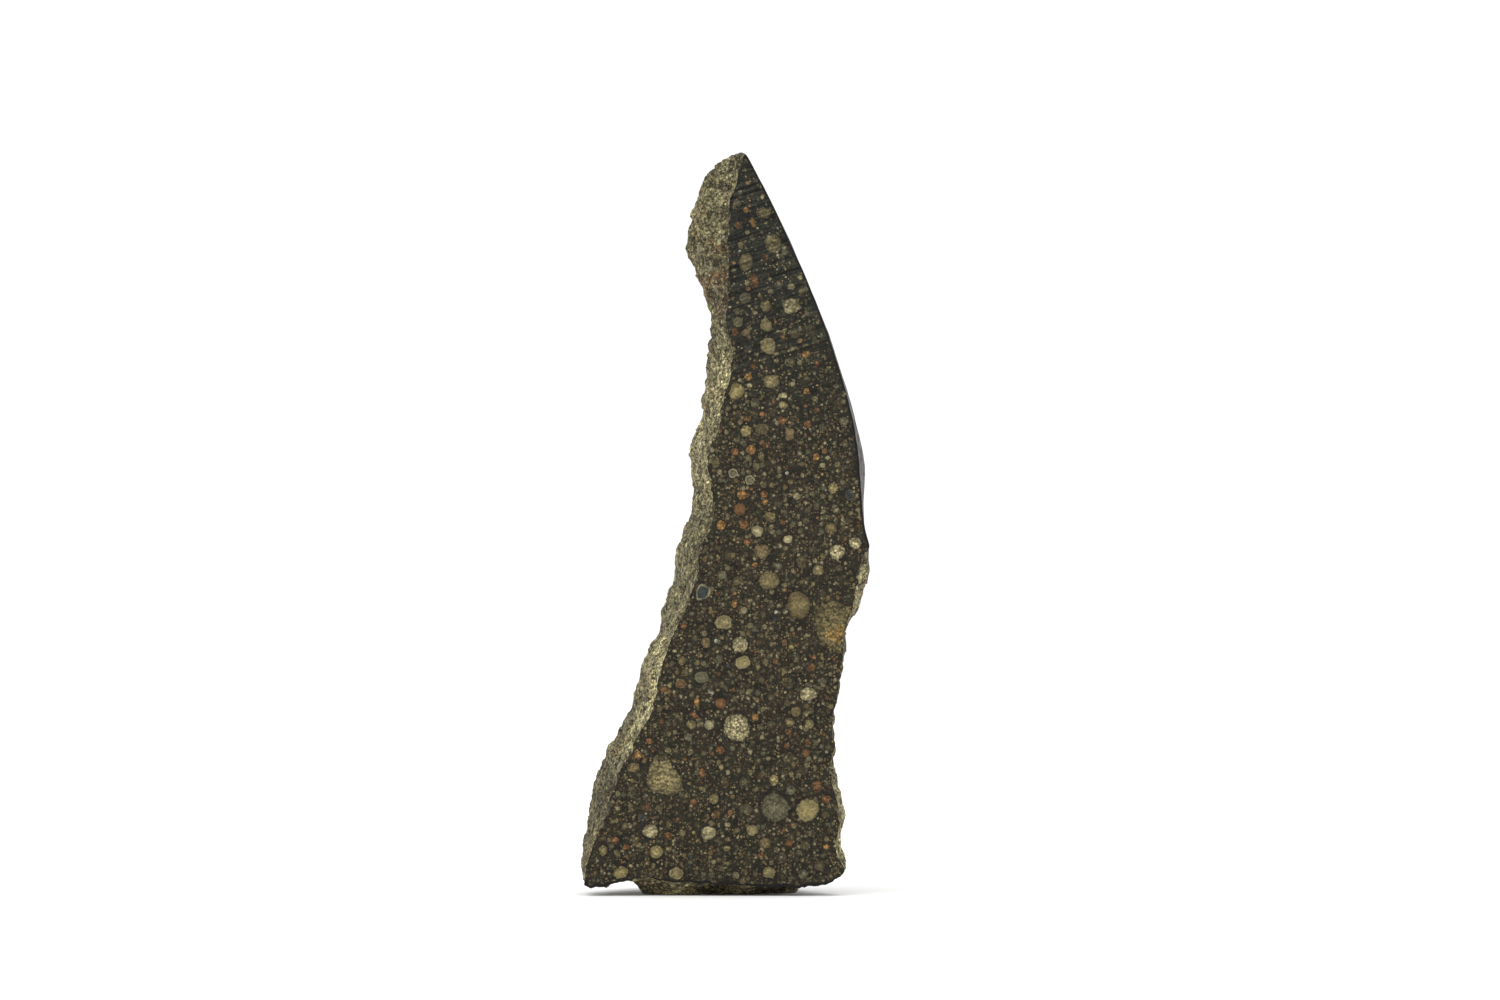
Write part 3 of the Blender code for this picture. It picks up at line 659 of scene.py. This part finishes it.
# %% Fragments with corners
# Each is a tone and the places (x, z) of its corners, clockwise.
FRAGMENTS = (
    ("brown", (
        (3.76, 10.9), (3.74, 11.3), (3.84, 11.66), (4.1, 11.8), (4.42, 11.72), (4.8, 11.5),
        (5.3, 11.5), (5.25, 10.9), (5.1, 10.4), (4.9, 9.95), (4.5, 9.98), (4.2, 10.2), (3.9, 10.44),
    )),
    ("olive", (
        (-2.8, 5.45), (-2.53, 5.63), (-2.3, 5.4), (-2.13, 5.05), (-1.86, 4.78), (-1.85, 4.42),
        (-2.13, 4.18), (-2.53, 4.26), (-2.9, 4.34), (-3.05, 4.7), (-2.93, 5.14),
    )),
    ("ochre", (
        (4.02, 10.42), (4.04, 10.62), (4.17, 10.55), (4.28, 10.8), (4.44, 10.66), (4.58, 10.98),
        (4.7, 10.8), (4.88, 11.02), (4.97, 10.7), (4.86, 10.4), (4.78, 10.16), (4.55, 10.14),
        (4.28, 10.3),
    )),
    ("straw", (
        (5.14, 13.8), (5.4, 13.92), (5.55, 13.66), (5.5, 13.3), (5.3, 12.98), (5.15, 13.3),
    )),
)

FRAGMENT_SPECKLE = 0.8
print("fragments:", len(FRAGMENTS))


# %% Gather the marked chondrules
def grain(x, z, wide, tall, tone, speckle=None, rim=0.0, strength=1.0, corners=()):
    """Everything that the mesh and the material need to know of one grain."""
    if speckle is None:
        speckle = SPECKLED.get(tone, PLAIN_SPECKLE)
    return {"place": Vector((x, z)), "wide": wide, "tall": tall, "tone": tone,
            "look": (speckle, rim, strength), "corners": corners}


def fragment(tone, corners):
    """A grain with corners of its own."""
    low = [min(c[k] for c in corners) for k in (0, 1)]
    high = [max(c[k] for c in corners) for k in (0, 1)]
    middle = [(a + b) / 2.0 for a, b in zip(low, high)]
    half = [(b - a) / 2.0 for a, b in zip(low, high)]
    return grain(*middle, *half, tone, FRAGMENT_SPECKLE, corners=corners)


grains = sorted((fragment(*row) for row in FRAGMENTS), key=lambda g: g["tone"] != STAIN)
grains += [grain(*row[:4], tone, *row[4:]) for tone, rows in MARKED.items() for row in rows]
print("marked chondrules:", len(grains))

# %% [markdown]
# ## The many small chondrules
#
# Between the marked ones the face is crowded with small grains, fewer towards the top. Chance
# tries a place, a size and a tone, and keeps the grain only if it is clear of all others and of
# the stone's edge. The seed is fixed, so the same stone comes out each time.

# %% Scatter the small ones
SCATTERED = 800
MOST_TRIES = 16000
SCATTER_RADII = (0.06, 0.26)
MOSTLY_SMALL = 2.4           # the higher, the fewer large grains
SCATTER_TONES = {"tan": 26, "pebble": 26, "sage": 16, "olive": 9, "rust": 12, "pink": 7,
                 "cream": 3, "straw": 3, "slate": 4}
THINNED_TOP = (19.0, 28.0)   # heights between which the grains become rare
MARGIN = 1.22                # how much larger an outline is than the grain, so the rim can be ragged
GAP = 0.01                   # the least distance between two outlines
EDGE_GAP = 0.08              # and between a scattered grain and the stone's edge
SCATTER_SEED = 21
chance = random.Random(SCATTER_SEED)
outline = flat_edge[::3]


def inside(place, ring=outline):
    """Whether a place lies within an outline."""
    crossings = 0
    for a, b in zip(ring, ring[1:] + ring[:1]):
        level = (a.y > place.y) != (b.y > place.y)
        if level and place.x < a.x + (place.y - a.y) / (b.y - a.y) * (b.x - a.x):
            crossings += 1
    return crossings % 2 == 1


def clear_of(place, reach):
    """Whether a small grain keeps its distance from the others and from the edge."""
    for g in grains:
        if (place - g["place"]).length < MARGIN * (reach + max(g["wide"], g["tall"])) + GAP:
            return False
    return inside(place) and all((place - p).length > reach + EDGE_GAP for p in outline)


low_x, high_x = min(p.x for p in flat_edge), max(p.x for p in flat_edge)
low_z, high_z = min(p.y for p in flat_edge), max(p.y for p in flat_edge)
smallest, largest = SCATTER_RADII
marked_count = len(grains)
tries = 0
while len(grains) < marked_count + SCATTERED and tries < MOST_TRIES:
    tries += 1
    place = Vector((chance.uniform(low_x, high_x), chance.uniform(low_z, high_z)))
    reach = smallest + (largest - smallest) * chance.random() ** MOSTLY_SMALL
    stretch = chance.uniform(0.8, 1.25)
    tone = chance.choices(list(SCATTER_TONES), list(SCATTER_TONES.values()))[0]
    speckle = chance.choice((0.3, 0.5, 0.7, 0.9))
    rim = chance.choice((0.0, 0.0, 0.0, 0.3, -0.3))
    strength = chance.uniform(0.22, 0.98)
    if chance.random() < 0.75 * smooth_step(*THINNED_TOP, place.y) or not clear_of(place, reach):
        continue
    halves = (reach * stretch, reach / stretch)
    grains.append(grain(*place, *halves, tone, speckle, rim, strength))
print("scattered grains:", len(grains) - marked_count, "after", tries, "tries")

# %% [markdown]
# ## The mesh of the sawn face
#
# A constrained Delaunay triangulation joins all of this into one flat sheet: the stone's ragged
# edge, a narrow band inside it for the dark line, and every outline. It uses the very points of the
# stone's edge, so the surface stays closed, as long as no outline touches that edge. So outlines
# near it are drawn in.

# %% Shape the outlines
EDGE_BAND = 0.15             # width of the band inside the edge
KEEP_IN = 0.07               # how far a chondrule's outline stays from the edge
ROUGH_OUTLINE = 0.2          # how uneven an oval is
CORNER_CUTS = (0.1, 0.35, 0.65, 0.9)  # where a fragment's sides get points: its corners go


def outline_of(g):
    """A slightly uneven oval, or the fragment's own corners, cut off a little."""
    if g["corners"]:
        grow = 1.0 if g["tone"] == STAIN else MARGIN
        corners = [g["place"] + (Vector(c) - g["place"]) * grow for c in reversed(g["corners"])]
        pairs = list(zip(corners, corners[1:] + corners[:1]))
        return [a.lerp(b, share) for a, b in pairs for share in CORNER_CUTS]
    wide, tall = g["wide"] * MARGIN, g["tall"] * MARGIN
    steps = max(7, round(10 + 26 * max(wide, tall)))
    turn = chance.uniform(0.0, 6.3)
    points = []
    for i in range(steps):
        angle = 2.0 * math.pi * i / steps
        across, up = math.cos(angle), math.sin(angle)
        wobble = 1.0 + ROUGH_OUTLINE * noise.noise(Vector((2.0 * across, 2.0 * up, turn)))
        points.append(g["place"] + Vector((wide * across, tall * up)) * wobble)
    return points


def nearest_edge(place):
    return min((place - p).length for p in flat_edge)


def pulled_in(points, middle):
    """Draws an outline's points towards its middle until they clear the stone's edge."""
    result = []
    for p in points:
        for _ in range(12):
            if inside(p, flat_edge) and nearest_edge(p) > KEEP_IN:
                break
            p = p.lerp(middle, 0.15)
        result.append(p)
    return result


grains = [g for g in grains
          if inside(g["place"], flat_edge) and nearest_edge(g["place"]) > 2.0 * KEEP_IN]
print("grains that are clear of the edge:", len(grains))

# %% Gather the points
STAIN_OUT = 0.5              # a stain lies halfway out in its fragment
FRAGMENT_OUT = 0.8           # a fragment keeps its corners, so the material eats less of its margin
CUT_OUT = 0.65               # and none where the stone's edge cuts it off

edge_count = len(flat_edge)
points_2d = list(flat_edge)
faces_2d = [list(range(edge_count))]
grain_out = {}               # how far out a grain's points lie: 0 in the middle, 1 on the outline
for g in grains:
    ring = outline_of(g)
    if nearest_edge(g["place"]) < 1.5 * max(g["wide"], g["tall"]) + 0.15:
        ring = pulled_in(ring, g["place"])
    start = len(points_2d)
    points_2d += ring
    faces_2d.append(list(range(start, start + len(ring))))
    if g["tone"] == STAIN:
        grain_out.update({i: STAIN_OUT for i in faces_2d[-1]})
        continue
    if g["corners"]:
        for i in faces_2d[-1]:
            grain_out[i] = CUT_OUT if nearest_edge(points_2d[i]) < 0.25 else FRAGMENT_OUT
    grain_out[len(points_2d)] = 0.0
    points_2d.append(g["place"])

band = []
for i in range(0, edge_count, 3):
    before, after = flat_edge[i - 4], flat_edge[(i + 4) % edge_count]
    along = (after - before).normalized()
    place = flat_edge[i] + Vector((-along.y, along.x)) * EDGE_BAND
    if inside(place) and nearest_edge(place) > EDGE_BAND * 0.75:
        if all((place - g["place"]).length > max(g["wide"], g["tall"]) * 1.4 for g in grains):
            band.append(place)
points_2d += band
print("points for the face:", len(points_2d), "of which in the band:", len(band))

# %% [markdown]
# ### Colours as the eye sees them
#
# The tones above are screen colours. Blender mixes light in linear numbers, and this studio shows
# a surface brighter than its own number, so each tone is turned into the one that comes out right.

# %% Helper for colours
STUDIO_GAIN = 1.42           # how much brighter a colour shows in this studio than its number says


def seen(*tone):
    """The colour to mix so that the studio's light shows it as this screen colour."""
    levels = [level / 255.0 for level in tone]
    linear = [v / 12.92 if v <= 0.04045 else ((v + 0.055) / 1.055) ** 2.4 for v in levels]
    return (*(v / STUDIO_GAIN for v in linear), 1.0)


print("cream is mixed as", [round(level, 3) for level in seen(*TONES["cream"])])

# %% [markdown]
# ### Close the stone
#
# The triangulation says from which points and outlines each new point and triangle came. So the
# edge keeps the stone's own points, each triangle knows its grain, and a stain, which is listed
# before its fragment, wins.

# %% Triangulate and close the front
FACE_SLOT = 1                # the second of the stone's two materials
SMALLEST_GAP = 1e-6
made_points, _, made_faces, from_points, _, from_faces = geometry.delaunay_2d_cdt(
    points_2d, [], faces_2d, 1, SMALLEST_GAP, True)
print("triangles in the face:", len(made_faces), "points:", len(made_points))

for vert in bm.verts:
    vert[out_layer] = 1.0
face_verts = []
for place, sources in zip(made_points, from_points):
    on_edge = next((i for i in sources if i < edge_count), None)
    if on_edge is not None:
        vert = stone_edge[on_edge]
        vert[edge_layer] = 1.0
    else:
        vert = bm.verts.new((place.x, SAWN_FACE_Y, place.y))
        vert[out_layer] = min((grain_out.get(i, 1.0) for i in sources), default=1.0)
    face_verts.append(vert)
for corner_numbers, sources in zip(made_faces, from_faces):
    if 0 not in sources:     # outside the stone's edge
        continue
    face = bm.faces.new([face_verts[i] for i in corner_numbers])
    face.smooth = False
    face.material_index = FACE_SLOT
    inner = [i - 1 for i in sources if i > 0]
    if inner:
        g = grains[min(inner)]
        face[tone_layer] = seen(*TONES[g["tone"]])
        face[look_layer] = g["look"]
print("open edges left:", sum(e.is_boundary for e in bm.edges))
forward = max(f.normal.y for f in bm.faces if f.material_index == FACE_SLOT)
print("least forward normal of the face:", round(forward, 3))

# %% Back to metres
bmesh.ops.scale(bm, vec=(MM, MM, MM), verts=bm.verts[:])
stone_mesh = bpy.data.meshes.new("stone")
bm.to_mesh(stone_mesh)
bm.free()
bpy.data.objects.remove(uncut, do_unlink=True)
stone = show("stone", stone_mesh)
print("triangles in the stone:", sum(len(p.vertices) - 2 for p in stone_mesh.polygons))

# %% [markdown]
# ## Short words for materials
#
# A few more helpers mix colours and numbers. Every pattern reads the place on the object in
# millimetres, so it is as fine as on the real stone and stays put whichever way the stone turns.

# %% Helpers for materials
def new_material(name):
    """An empty node material, with its shader and the place on the object in millimetres."""
    material = bpy.data.materials.new(name)
    material.use_nodes = True
    tree = material.node_tree
    shader = tree.nodes["Principled BSDF"]
    place = scaled(tree, node(tree, "ShaderNodeTexCoord").outputs["Object"], 1.0 / MM)
    return material, tree, shader, place


def mixed(tree, share, first, second, how="MIX"):
    """Goes from the first colour to the second as the share goes from 0 to 1."""
    ins = {0: share, 6: first, 7: second}
    return node(tree, "ShaderNodeMix", ins, data_type="RGBA", blend_type=how).outputs[2]


def blended(tree, share, first, second):
    """The same for numbers."""
    return node(tree, "ShaderNodeMix", {0: share, 2: first, 3: second}, data_type="FLOAT").outputs[0]


def darker(tree, colour, share, by):
    """A colour that loses up to a part of its light. A negative part adds light."""
    return scaled(tree, colour, minus(tree, 1.0, times(tree, share, by)))


def read(tree, name):
    return node(tree, "ShaderNodeAttribute", attribute_name=name).outputs


def palette(tree, value, tones):
    """Picks one of several screen colours by a number from 0 to 1."""
    picker = node(tree, "ShaderNodeValToRGB", {0: value})
    ramp = picker.color_ramp
    ramp.interpolation = "CONSTANT"
    while len(ramp.elements) < len(tones):
        ramp.elements.new(0.5)
    for i, tone in enumerate(tones):
        ramp.elements[i].position = i / len(tones)
        ramp.elements[i].color = seen(*tone)
    return picker.outputs[0]


def finish_material(tree, shader, colour, roughness, bumps, bump_mm, bump_strength, shine):
    """Gives the shader its colour, its gloss and its finest relief."""
    plug(tree, shader.inputs["Base Color"], colour)
    plug(tree, shader.inputs["Roughness"], roughness)
    shader.inputs["Specular IOR Level"].default_value = shine
    ins = {"Strength": bump_strength, "Distance": bump_mm * MM, "Height": bumps}
    plug(tree, shader.inputs["Normal"], node(tree, "ShaderNodeBump", ins).outputs["Normal"])


# %% [markdown]
# ## The finish of the sawn face: its ground
#
# The ground is a dark, fine mix, bluer at the top, warmer and richer in grains below. Soft noise at
# three scales makes the mix, and a little coloured noise over it stands for the many minerals.

# %% The ground between the grains
face_material, t, shader, place = new_material("sawn_rock")
axis = split(t, place)
height = axis["Z"]

high = between(t, plus(t, height, times(t, cloudy(t, place, 0.35), 6.0)), 19.0, 31.0)
ground = mixed(t, high, seen(43, 39, 28), seen(39, 40, 33))
ground = scaled(t, ground, mottled(t, place, 1.8, 0.62, 1.45, 5.0, 0.65))
hue = node(t, "ShaderNodeTexNoise", {"Vector": place, "Scale": 3.1, "Detail": 4.0}).outputs["Color"]
ground = mixed(t, 0.22, ground, hue, "OVERLAY")
ground = scaled(t, ground, mottled(t, place, 10.0, 0.25, 1.75, 4.0, 0.75))

# %% [markdown]
# ### The grains too small for the mesh
#
# Four layers of cells add them, from grains of a quarter of a millimetre to single bright crystals.
# Chance shows only some of the cells in each layer, and gives each a radius and a tone.

# %% Four layers of small grains
GRAIN_TONES = ((104, 93, 64), (84, 82, 60), (92, 75, 52), (114, 91, 60), (118, 110, 78),
               (88, 86, 64), (152, 142, 108))
# Each layer: cells to a millimetre, share of the cells that show, radius in cells, brightness
SMALL_GRAINS = ((3.4, 0.5, 0.38, 1.0), (6.2, 0.5, 0.4, 1.0), (11.0, 0.42, 0.42, 1.1),
                (13.0, 0.07, 0.45, 2.2))
rich = between(t, high, 0.0, 1.0, 1.0, 0.45)
for per_mm, share, reach, bright in SMALL_GRAINS:
    cell = cells(t, place, per_mm)
    luck = split(t, cell.outputs["Color"])
    wide = times(t, plus(t, 0.55, times(t, luck["Z"], 0.45)), reach)
    ragged = times(t, minus(t, cloudy(t, place, per_mm * 3.0, 2.0), 0.5), 0.35)
    away = plus(t, cell.outputs["Distance"], ragged)
    shown = calc(t, "LESS_THAN", luck["X"], times(t, share, rich))
    body = between(t, minus(t, away, wide), 0.1, -0.1)
    tone = palette(t, luck["Y"], GRAIN_TONES)
    tone = scaled(t, tone, mottled(t, place, 14.0, 0.5 * bright, 1.6 * bright, 2.0, 0.7))
    ground = mixed(t, times(t, shown, body, 0.8), ground, tone)
print("layers of small grains:", len(SMALL_GRAINS))

# %% [markdown]
# ### The chondrules' own finish
#
# Inside a marked outline the chondrule's tone takes over. Noise eats a ragged rim into it, so no
# outline looks drawn, and round it the ground is a little darker, like the fine dust that coats
# real chondrules. Some are full of small crystals, some have a pale or a rusty rim.

# %% Chondrules with crystals and rims
tone = read(t, "tone")["Color"]
look = split(t, read(t, "look")["Vector"])
ragged = times(t, minus(t, cloudy(t, place, 8.0, 4.0, 0.7), 0.2), 0.5)
out = plus(t, read(t, "grain_out")["Fac"], ragged)
inner = between(t, out, 1.02, 0.86)
crystal = cells(t, place, 11.0)
crystal_luck = split(t, crystal.outputs["Color"])["X"]
flecks = between(t, crystal_luck, 0.0, 1.0, 0.35, 1.75)
flecks = times(t, flecks, between(t, crystal.outputs["Distance"], 0.25, 0.75, 1.2, 0.5))
textured = blended(t, look["X"], mottled(t, place, 7.0, 0.5, 1.5, 4.0, 0.8), flecks)
chondrule = scaled(t, tone, times(t, textured, between(t, out, 1.0, 0.2, 0.8, 1.4)))

uneven = between(t, cloudy(t, place, 2.4, 2.0), 0.36, 0.6, 0.25, 1.0)
rim = times(t, window(t, out, 0.68, 0.84, 0.88, 1.02), uneven)
pale_rim = times(t, rim, calc(t, "MAXIMUM", look["Y"], 0.0))
rusty_rim = times(t, rim, calc(t, "MAXIMUM", times(t, look["Y"], -1.0), 0.0))
chondrule = mixed(t, pale_rim, chondrule, seen(168, 158, 120))
chondrule = mixed(t, rusty_rim, chondrule, seen(96, 66, 44))

strength = times(t, look["Z"], between(t, height, 19.0, 27.0, 1.0, 0.5))
dusty_coat = times(t, between(t, out, 1.3, 1.05), strength)
shown = times(t, inner, strength)
colour = mixed(t, shown, darker(t, ground, dusty_coat, 0.35), chondrule)

# %% [markdown]
# ### Saw lines and the edge
#
# The saw left fine lines that rise to the right, clearest near the top and fainter on the hard
# grains. They are noise, stretched along the saw's path. The crust shows in section as a thin black
# line along the right edge, and along the bottom edge a dark line of painted shade stands for the
# shade under the face.

# %% Saw lines, dark edge and gloss
SAW_LEAN = math.radians(18.0)
ALONG_SCALE, ACROSS_SCALE = 0.22, 7.5
SAW_STRENGTH = 0.85

across = minus(t, times(t, height, math.cos(SAW_LEAN)), times(t, axis["X"], math.sin(SAW_LEAN)))
along = plus(t, times(t, height, math.sin(SAW_LEAN)), times(t, axis["X"], math.cos(SAW_LEAN)))
ins = {"X": times(t, along, ALONG_SCALE), "Y": times(t, across, ACROSS_SCALE)}
lines = cloudy(t, node(t, "ShaderNodeCombineXYZ", ins).outputs[0], 1.0, 2.0, 0.6)
clear_lines = plus(t, 0.2, times(t, high, 0.8))
stripe = times(t, between(t, lines, 0.3, 0.7, -1.0, 1.0), between(t, shown, 0.0, 1.0, 1.0, 0.45))
colour = scaled(t, colour, plus(t, 1.0, times(t, stripe, clear_lines, SAW_STRENGTH)))

# Black crust in section along the right edge, and painted shade along the bottom edge.
crust_line_and_painted_shade = calc(t, "MAXIMUM", read(t, "crust")["Fac"], between(t, height, 0.9, 0.5))
crust_line_and_painted_shade = times(t, read(t, "near_edge")["Fac"], crust_line_and_painted_shade)
colour = mixed(t, between(t, crust_line_and_painted_shade, 0.1, 0.35), colour, seen(24, 22, 20))

gloss = mottled(t, place, 6.0, 0.5, 0.72, 4.0, 0.55)
rough = plus(t, times(t, cloudy(t, place, 16.0, 3.0, 0.7), 0.5), times(t, lines, clear_lines))
finish_material(t, shader, colour, gloss, rough, bump_mm=0.012, bump_strength=0.5, shine=0.16)
print("nodes in the sawn rock:", len(t.nodes))

# %% [markdown]
# ## The finish of the sides: broken rock
#
# Broken chondrite is sandy: cream and dark specks side by side in khaki rock, here and there a
# tinge of rust. A curve over the height sets how light the rock beside the sawn face is, as the
# photograph shows it. Behind the edge the curve fades out and broad soft blotches take its place.

# %% Tones of the broken rock
sides_material, t, shader, place = new_material("rough_sides")
axis = split(t, place)
crust = read(t, "crust")["Fac"]
relief = read(t, "relief")["Fac"]
out = read(t, "knob")["Fac"]
luck = read(t, "knob_luck")["Fac"]

STONE_HEIGHT = 30.0
# The lightness of the rock beside the sawn face, as (share of the height, level)
ZONES = ((0.0, 0.85), (0.03, 0.7), (0.08, 0.42), (0.16, 0.5), (0.27, 1.12), (0.45, 0.56),
         (0.63, 1.12), (0.76, 0.42), (0.84, 0.36), (0.92, 0.44), (1.0, 0.46))
EVEN_LEVEL = 0.55            # the level behind the edge
ROCK_GAIN = 2.2

pale_rock = between(t, cloudy(t, place, 0.55, 3.0), 0.35, 0.65)
rock = mixed(t, pale_rock, seen(108, 101, 71), seen(146, 138, 99))
zone = node(t, "ShaderNodeFloatCurve", {"Value": calc(t, "DIVIDE", axis["Z"], STONE_HEIGHT)})
curve = zone.mapping.curves[0]
while len(curve.points) < len(ZONES):
    curve.points.new(0.5, 0.5)
for point, row in zip(curve.points, ZONES):
    point.location = row
zone.mapping.update()
level = blended(t, between(t, axis["Y"], -4.2, -1.2), zone.outputs[0], EVEN_LEVEL)
rock = scaled(t, rock, times(t, level, ROCK_GAIN))
rock = mixed(t, between(t, axis["Y"], -3.5, 1.0, 0.0, 0.65), rock, seen(92, 85, 70))

# %% Fringes, painted shade on the foot, blotches and rust
at_right = between(t, axis["X"], 1.5, 3.0)
dark_fringe = times(t, window(t, axis["Z"], 4.0, 5.2, 10.2, 11.2), at_right)
light_fringe = times(t, window(t, axis["Z"], 0.9, 1.8, 4.2, 4.9), at_right)
# Painted shade: the foot's right part, under the overhanging sawn face, is darkened.
painted_foot_shade = times(t, between(t, axis["Z"], 1.0, 0.6), between(t, axis["X"], -1.6, -0.4))
rock = darker(t, rock, dark_fringe, 0.6)
rock = darker(t, rock, light_fringe, -0.8)
rock = darker(t, rock, painted_foot_shade, 0.6)
rock = scaled(t, rock, mottled(t, place, 2.2, 0.55, 1.4))
broad = between(t, cloudy(t, place, 0.4, 2.0), 0.35, 0.65, 1.3, 0.72)
rock = scaled(t, rock, blended(t, between(t, axis["Y"], -1.5, 1.5), 1.0, broad))
rusty_height = window(t, axis["Z"], 21.8, 23.2, 25.0, 26.6)
rust = plus(t, cloudy(t, place, 0.9, 4.0, 0.7), times(t, rusty_height, 0.11))
rock = mixed(t, between(t, rust, 0.54, 0.7, 0.0, 0.7), rock, seen(128, 92, 56))

# %% [markdown]
# ### Knobs, sand and veins
#
# Knobs and sockets take tones of their own. Then comes the sand: small cells, each lighter or
# darker than the next, some pale and some nearly black. Dark gaps between packed grains give it
# depth, painted shade darkens the low places of the relief and painted light its high places, and a
# few fine pale veins cross the upper left facet.

# %% Knobs, sand and veins
KNOB_TONES = ((112, 102, 78), (104, 92, 66), (92, 84, 68), (130, 119, 90), (112, 88, 60),
              (150, 142, 116))
PALE_SAND = 0.88             # cells with more luck than this are pale
DARK_SAND = 0.2              # and those with less than this are dark

knob_share = times(t, between(t, out, 1.0, 0.8), between(t, axis["Y"], -3.0, 0.5, 0.5, 0.85))
rock = mixed(t, knob_share, rock, palette(t, luck, KNOB_TONES))

sand = cells(t, place, 11.0)
sand_luck = split(t, sand.outputs["Color"])
rock = scaled(t, rock, between(t, sand_luck["X"], 0.0, 1.0, 0.45, 1.6))
pale = calc(t, "GREATER_THAN", sand_luck["Y"], PALE_SAND)
pale = times(t, pale, between(t, sand.outputs["Distance"], 0.75, 0.25))
rock = mixed(t, pale, rock, seen(178, 168, 132))
dark = times(t, calc(t, "LESS_THAN", sand_luck["Y"], DARK_SAND), 0.75)
rock = mixed(t, dark, rock, seen(52, 46, 32))

packed = cells(t, place, 4.2, "DISTANCE_TO_EDGE").outputs["Distance"]
rock = scaled(t, rock, between(t, packed, 0.0, 0.16, 0.5, 1.15))
rock = scaled(t, rock, mottled(t, place, 5.5, 0.6, 1.5, 3.0, 0.7))
rock = scaled(t, rock, mottled(t, place, 20.0, 0.55, 1.5, 3.0, 0.75))
# Painted shade in the low places of the relief and painted light on its high places.
rock = scaled(t, rock, between(t, relief, -0.24, 0.08, 0.45, 1.25))

vein = cells(t, pushed(t, place, 0.9, 1.4), 0.6, "DISTANCE_TO_EDGE").outputs["Distance"]
vein = times(t, between(t, vein, 0.03, 0.008), between(t, cloudy(t, place, 0.8, 2.0), 0.46, 0.58))
vein = times(t, vein, between(t, axis["Y"], -2.0, 0.5, 0.55, 0.12))
rock = mixed(t, vein, rock, seen(176, 168, 134))

# %% [markdown]
# ## The crust
#
# The crust is glass that froze in the last seconds of the fall: nearly black, satin, with a brown
# tinge where it has weathered, small pimples, and fine cracks filled with pale dust. It shares a
# material with the broken rock, so that their border needn't follow the edges of the mesh.

# %% Skin, pimples and cracks
crack = cells(t, pushed(t, place, 1.3, 0.55), 0.85, "DISTANCE_TO_EDGE").outputs["Distance"]
in_crack = between(t, cloudy(t, place, 0.5, 2.0), 0.5, 0.62)
in_crack = times(t, in_crack, between(t, crack, 0.022, 0.006))
weathered = between(t, cloudy(t, place, 0.8, 5.0, 0.65), 0.42, 0.66)
skin = mixed(t, weathered, seen(38, 34, 31), seen(62, 50, 38))
skin = scaled(t, skin, mottled(t, place, 7.0, 0.55, 1.45))
pimples = between(t, cells(t, place, 3.2).outputs["Distance"], 0.42, 0.1)
skin = scaled(t, skin, between(t, pimples, 0.0, 1.0, 0.85, 1.3))
dust = between(t, cloudy(t, place, 1.7, 5.0, 0.7), 0.55, 0.68)
dust = times(t, dust, between(t, relief, 0.02, -0.05), 0.5)
skin = mixed(t, dust, skin, seen(112, 98, 74))
skin = mixed(t, times(t, in_crack, 0.7), skin, seen(104, 90, 68))

# %% Join rock and crust
rock_gloss = mottled(t, place, 9.0, 0.72, 0.95, 2.0, 0.55)
skin_gloss = mottled(t, place, 3.0, 0.32, 0.68, 4.0, 0.65)
rock_bumps = minus(t, cloudy(t, place, 9.0, 4.0, 0.75), times(t, sand.outputs["Distance"], 0.6))
skin_bumps = plus(t, times(t, cloudy(t, place, 5.0, 4.0, 0.65), 0.5), times(t, pimples, 0.35))
skin_bumps = minus(t, skin_bumps, times(t, in_crack, 0.6))
colour = mixed(t, crust, rock, skin)
gloss = blended(t, crust, rock_gloss, skin_gloss)
bumps = blended(t, crust, rock_bumps, skin_bumps)
finish_material(t, shader, colour, gloss, bumps, bump_mm=0.1, bump_strength=1.0, shine=0.35)
print("nodes in the rough sides:", len(t.nodes))

# %% [markdown]
# ## Put the stone in place
#
# The dressed stone stands for the CAD node, moves with its one body, and takes its two materials:
# the broken sides and the sawn face.

# %% Finish
stone_mesh.materials.append(sides_material)
stone_mesh.materials.append(face_material)
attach(stone, "root")
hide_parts("meteorite")
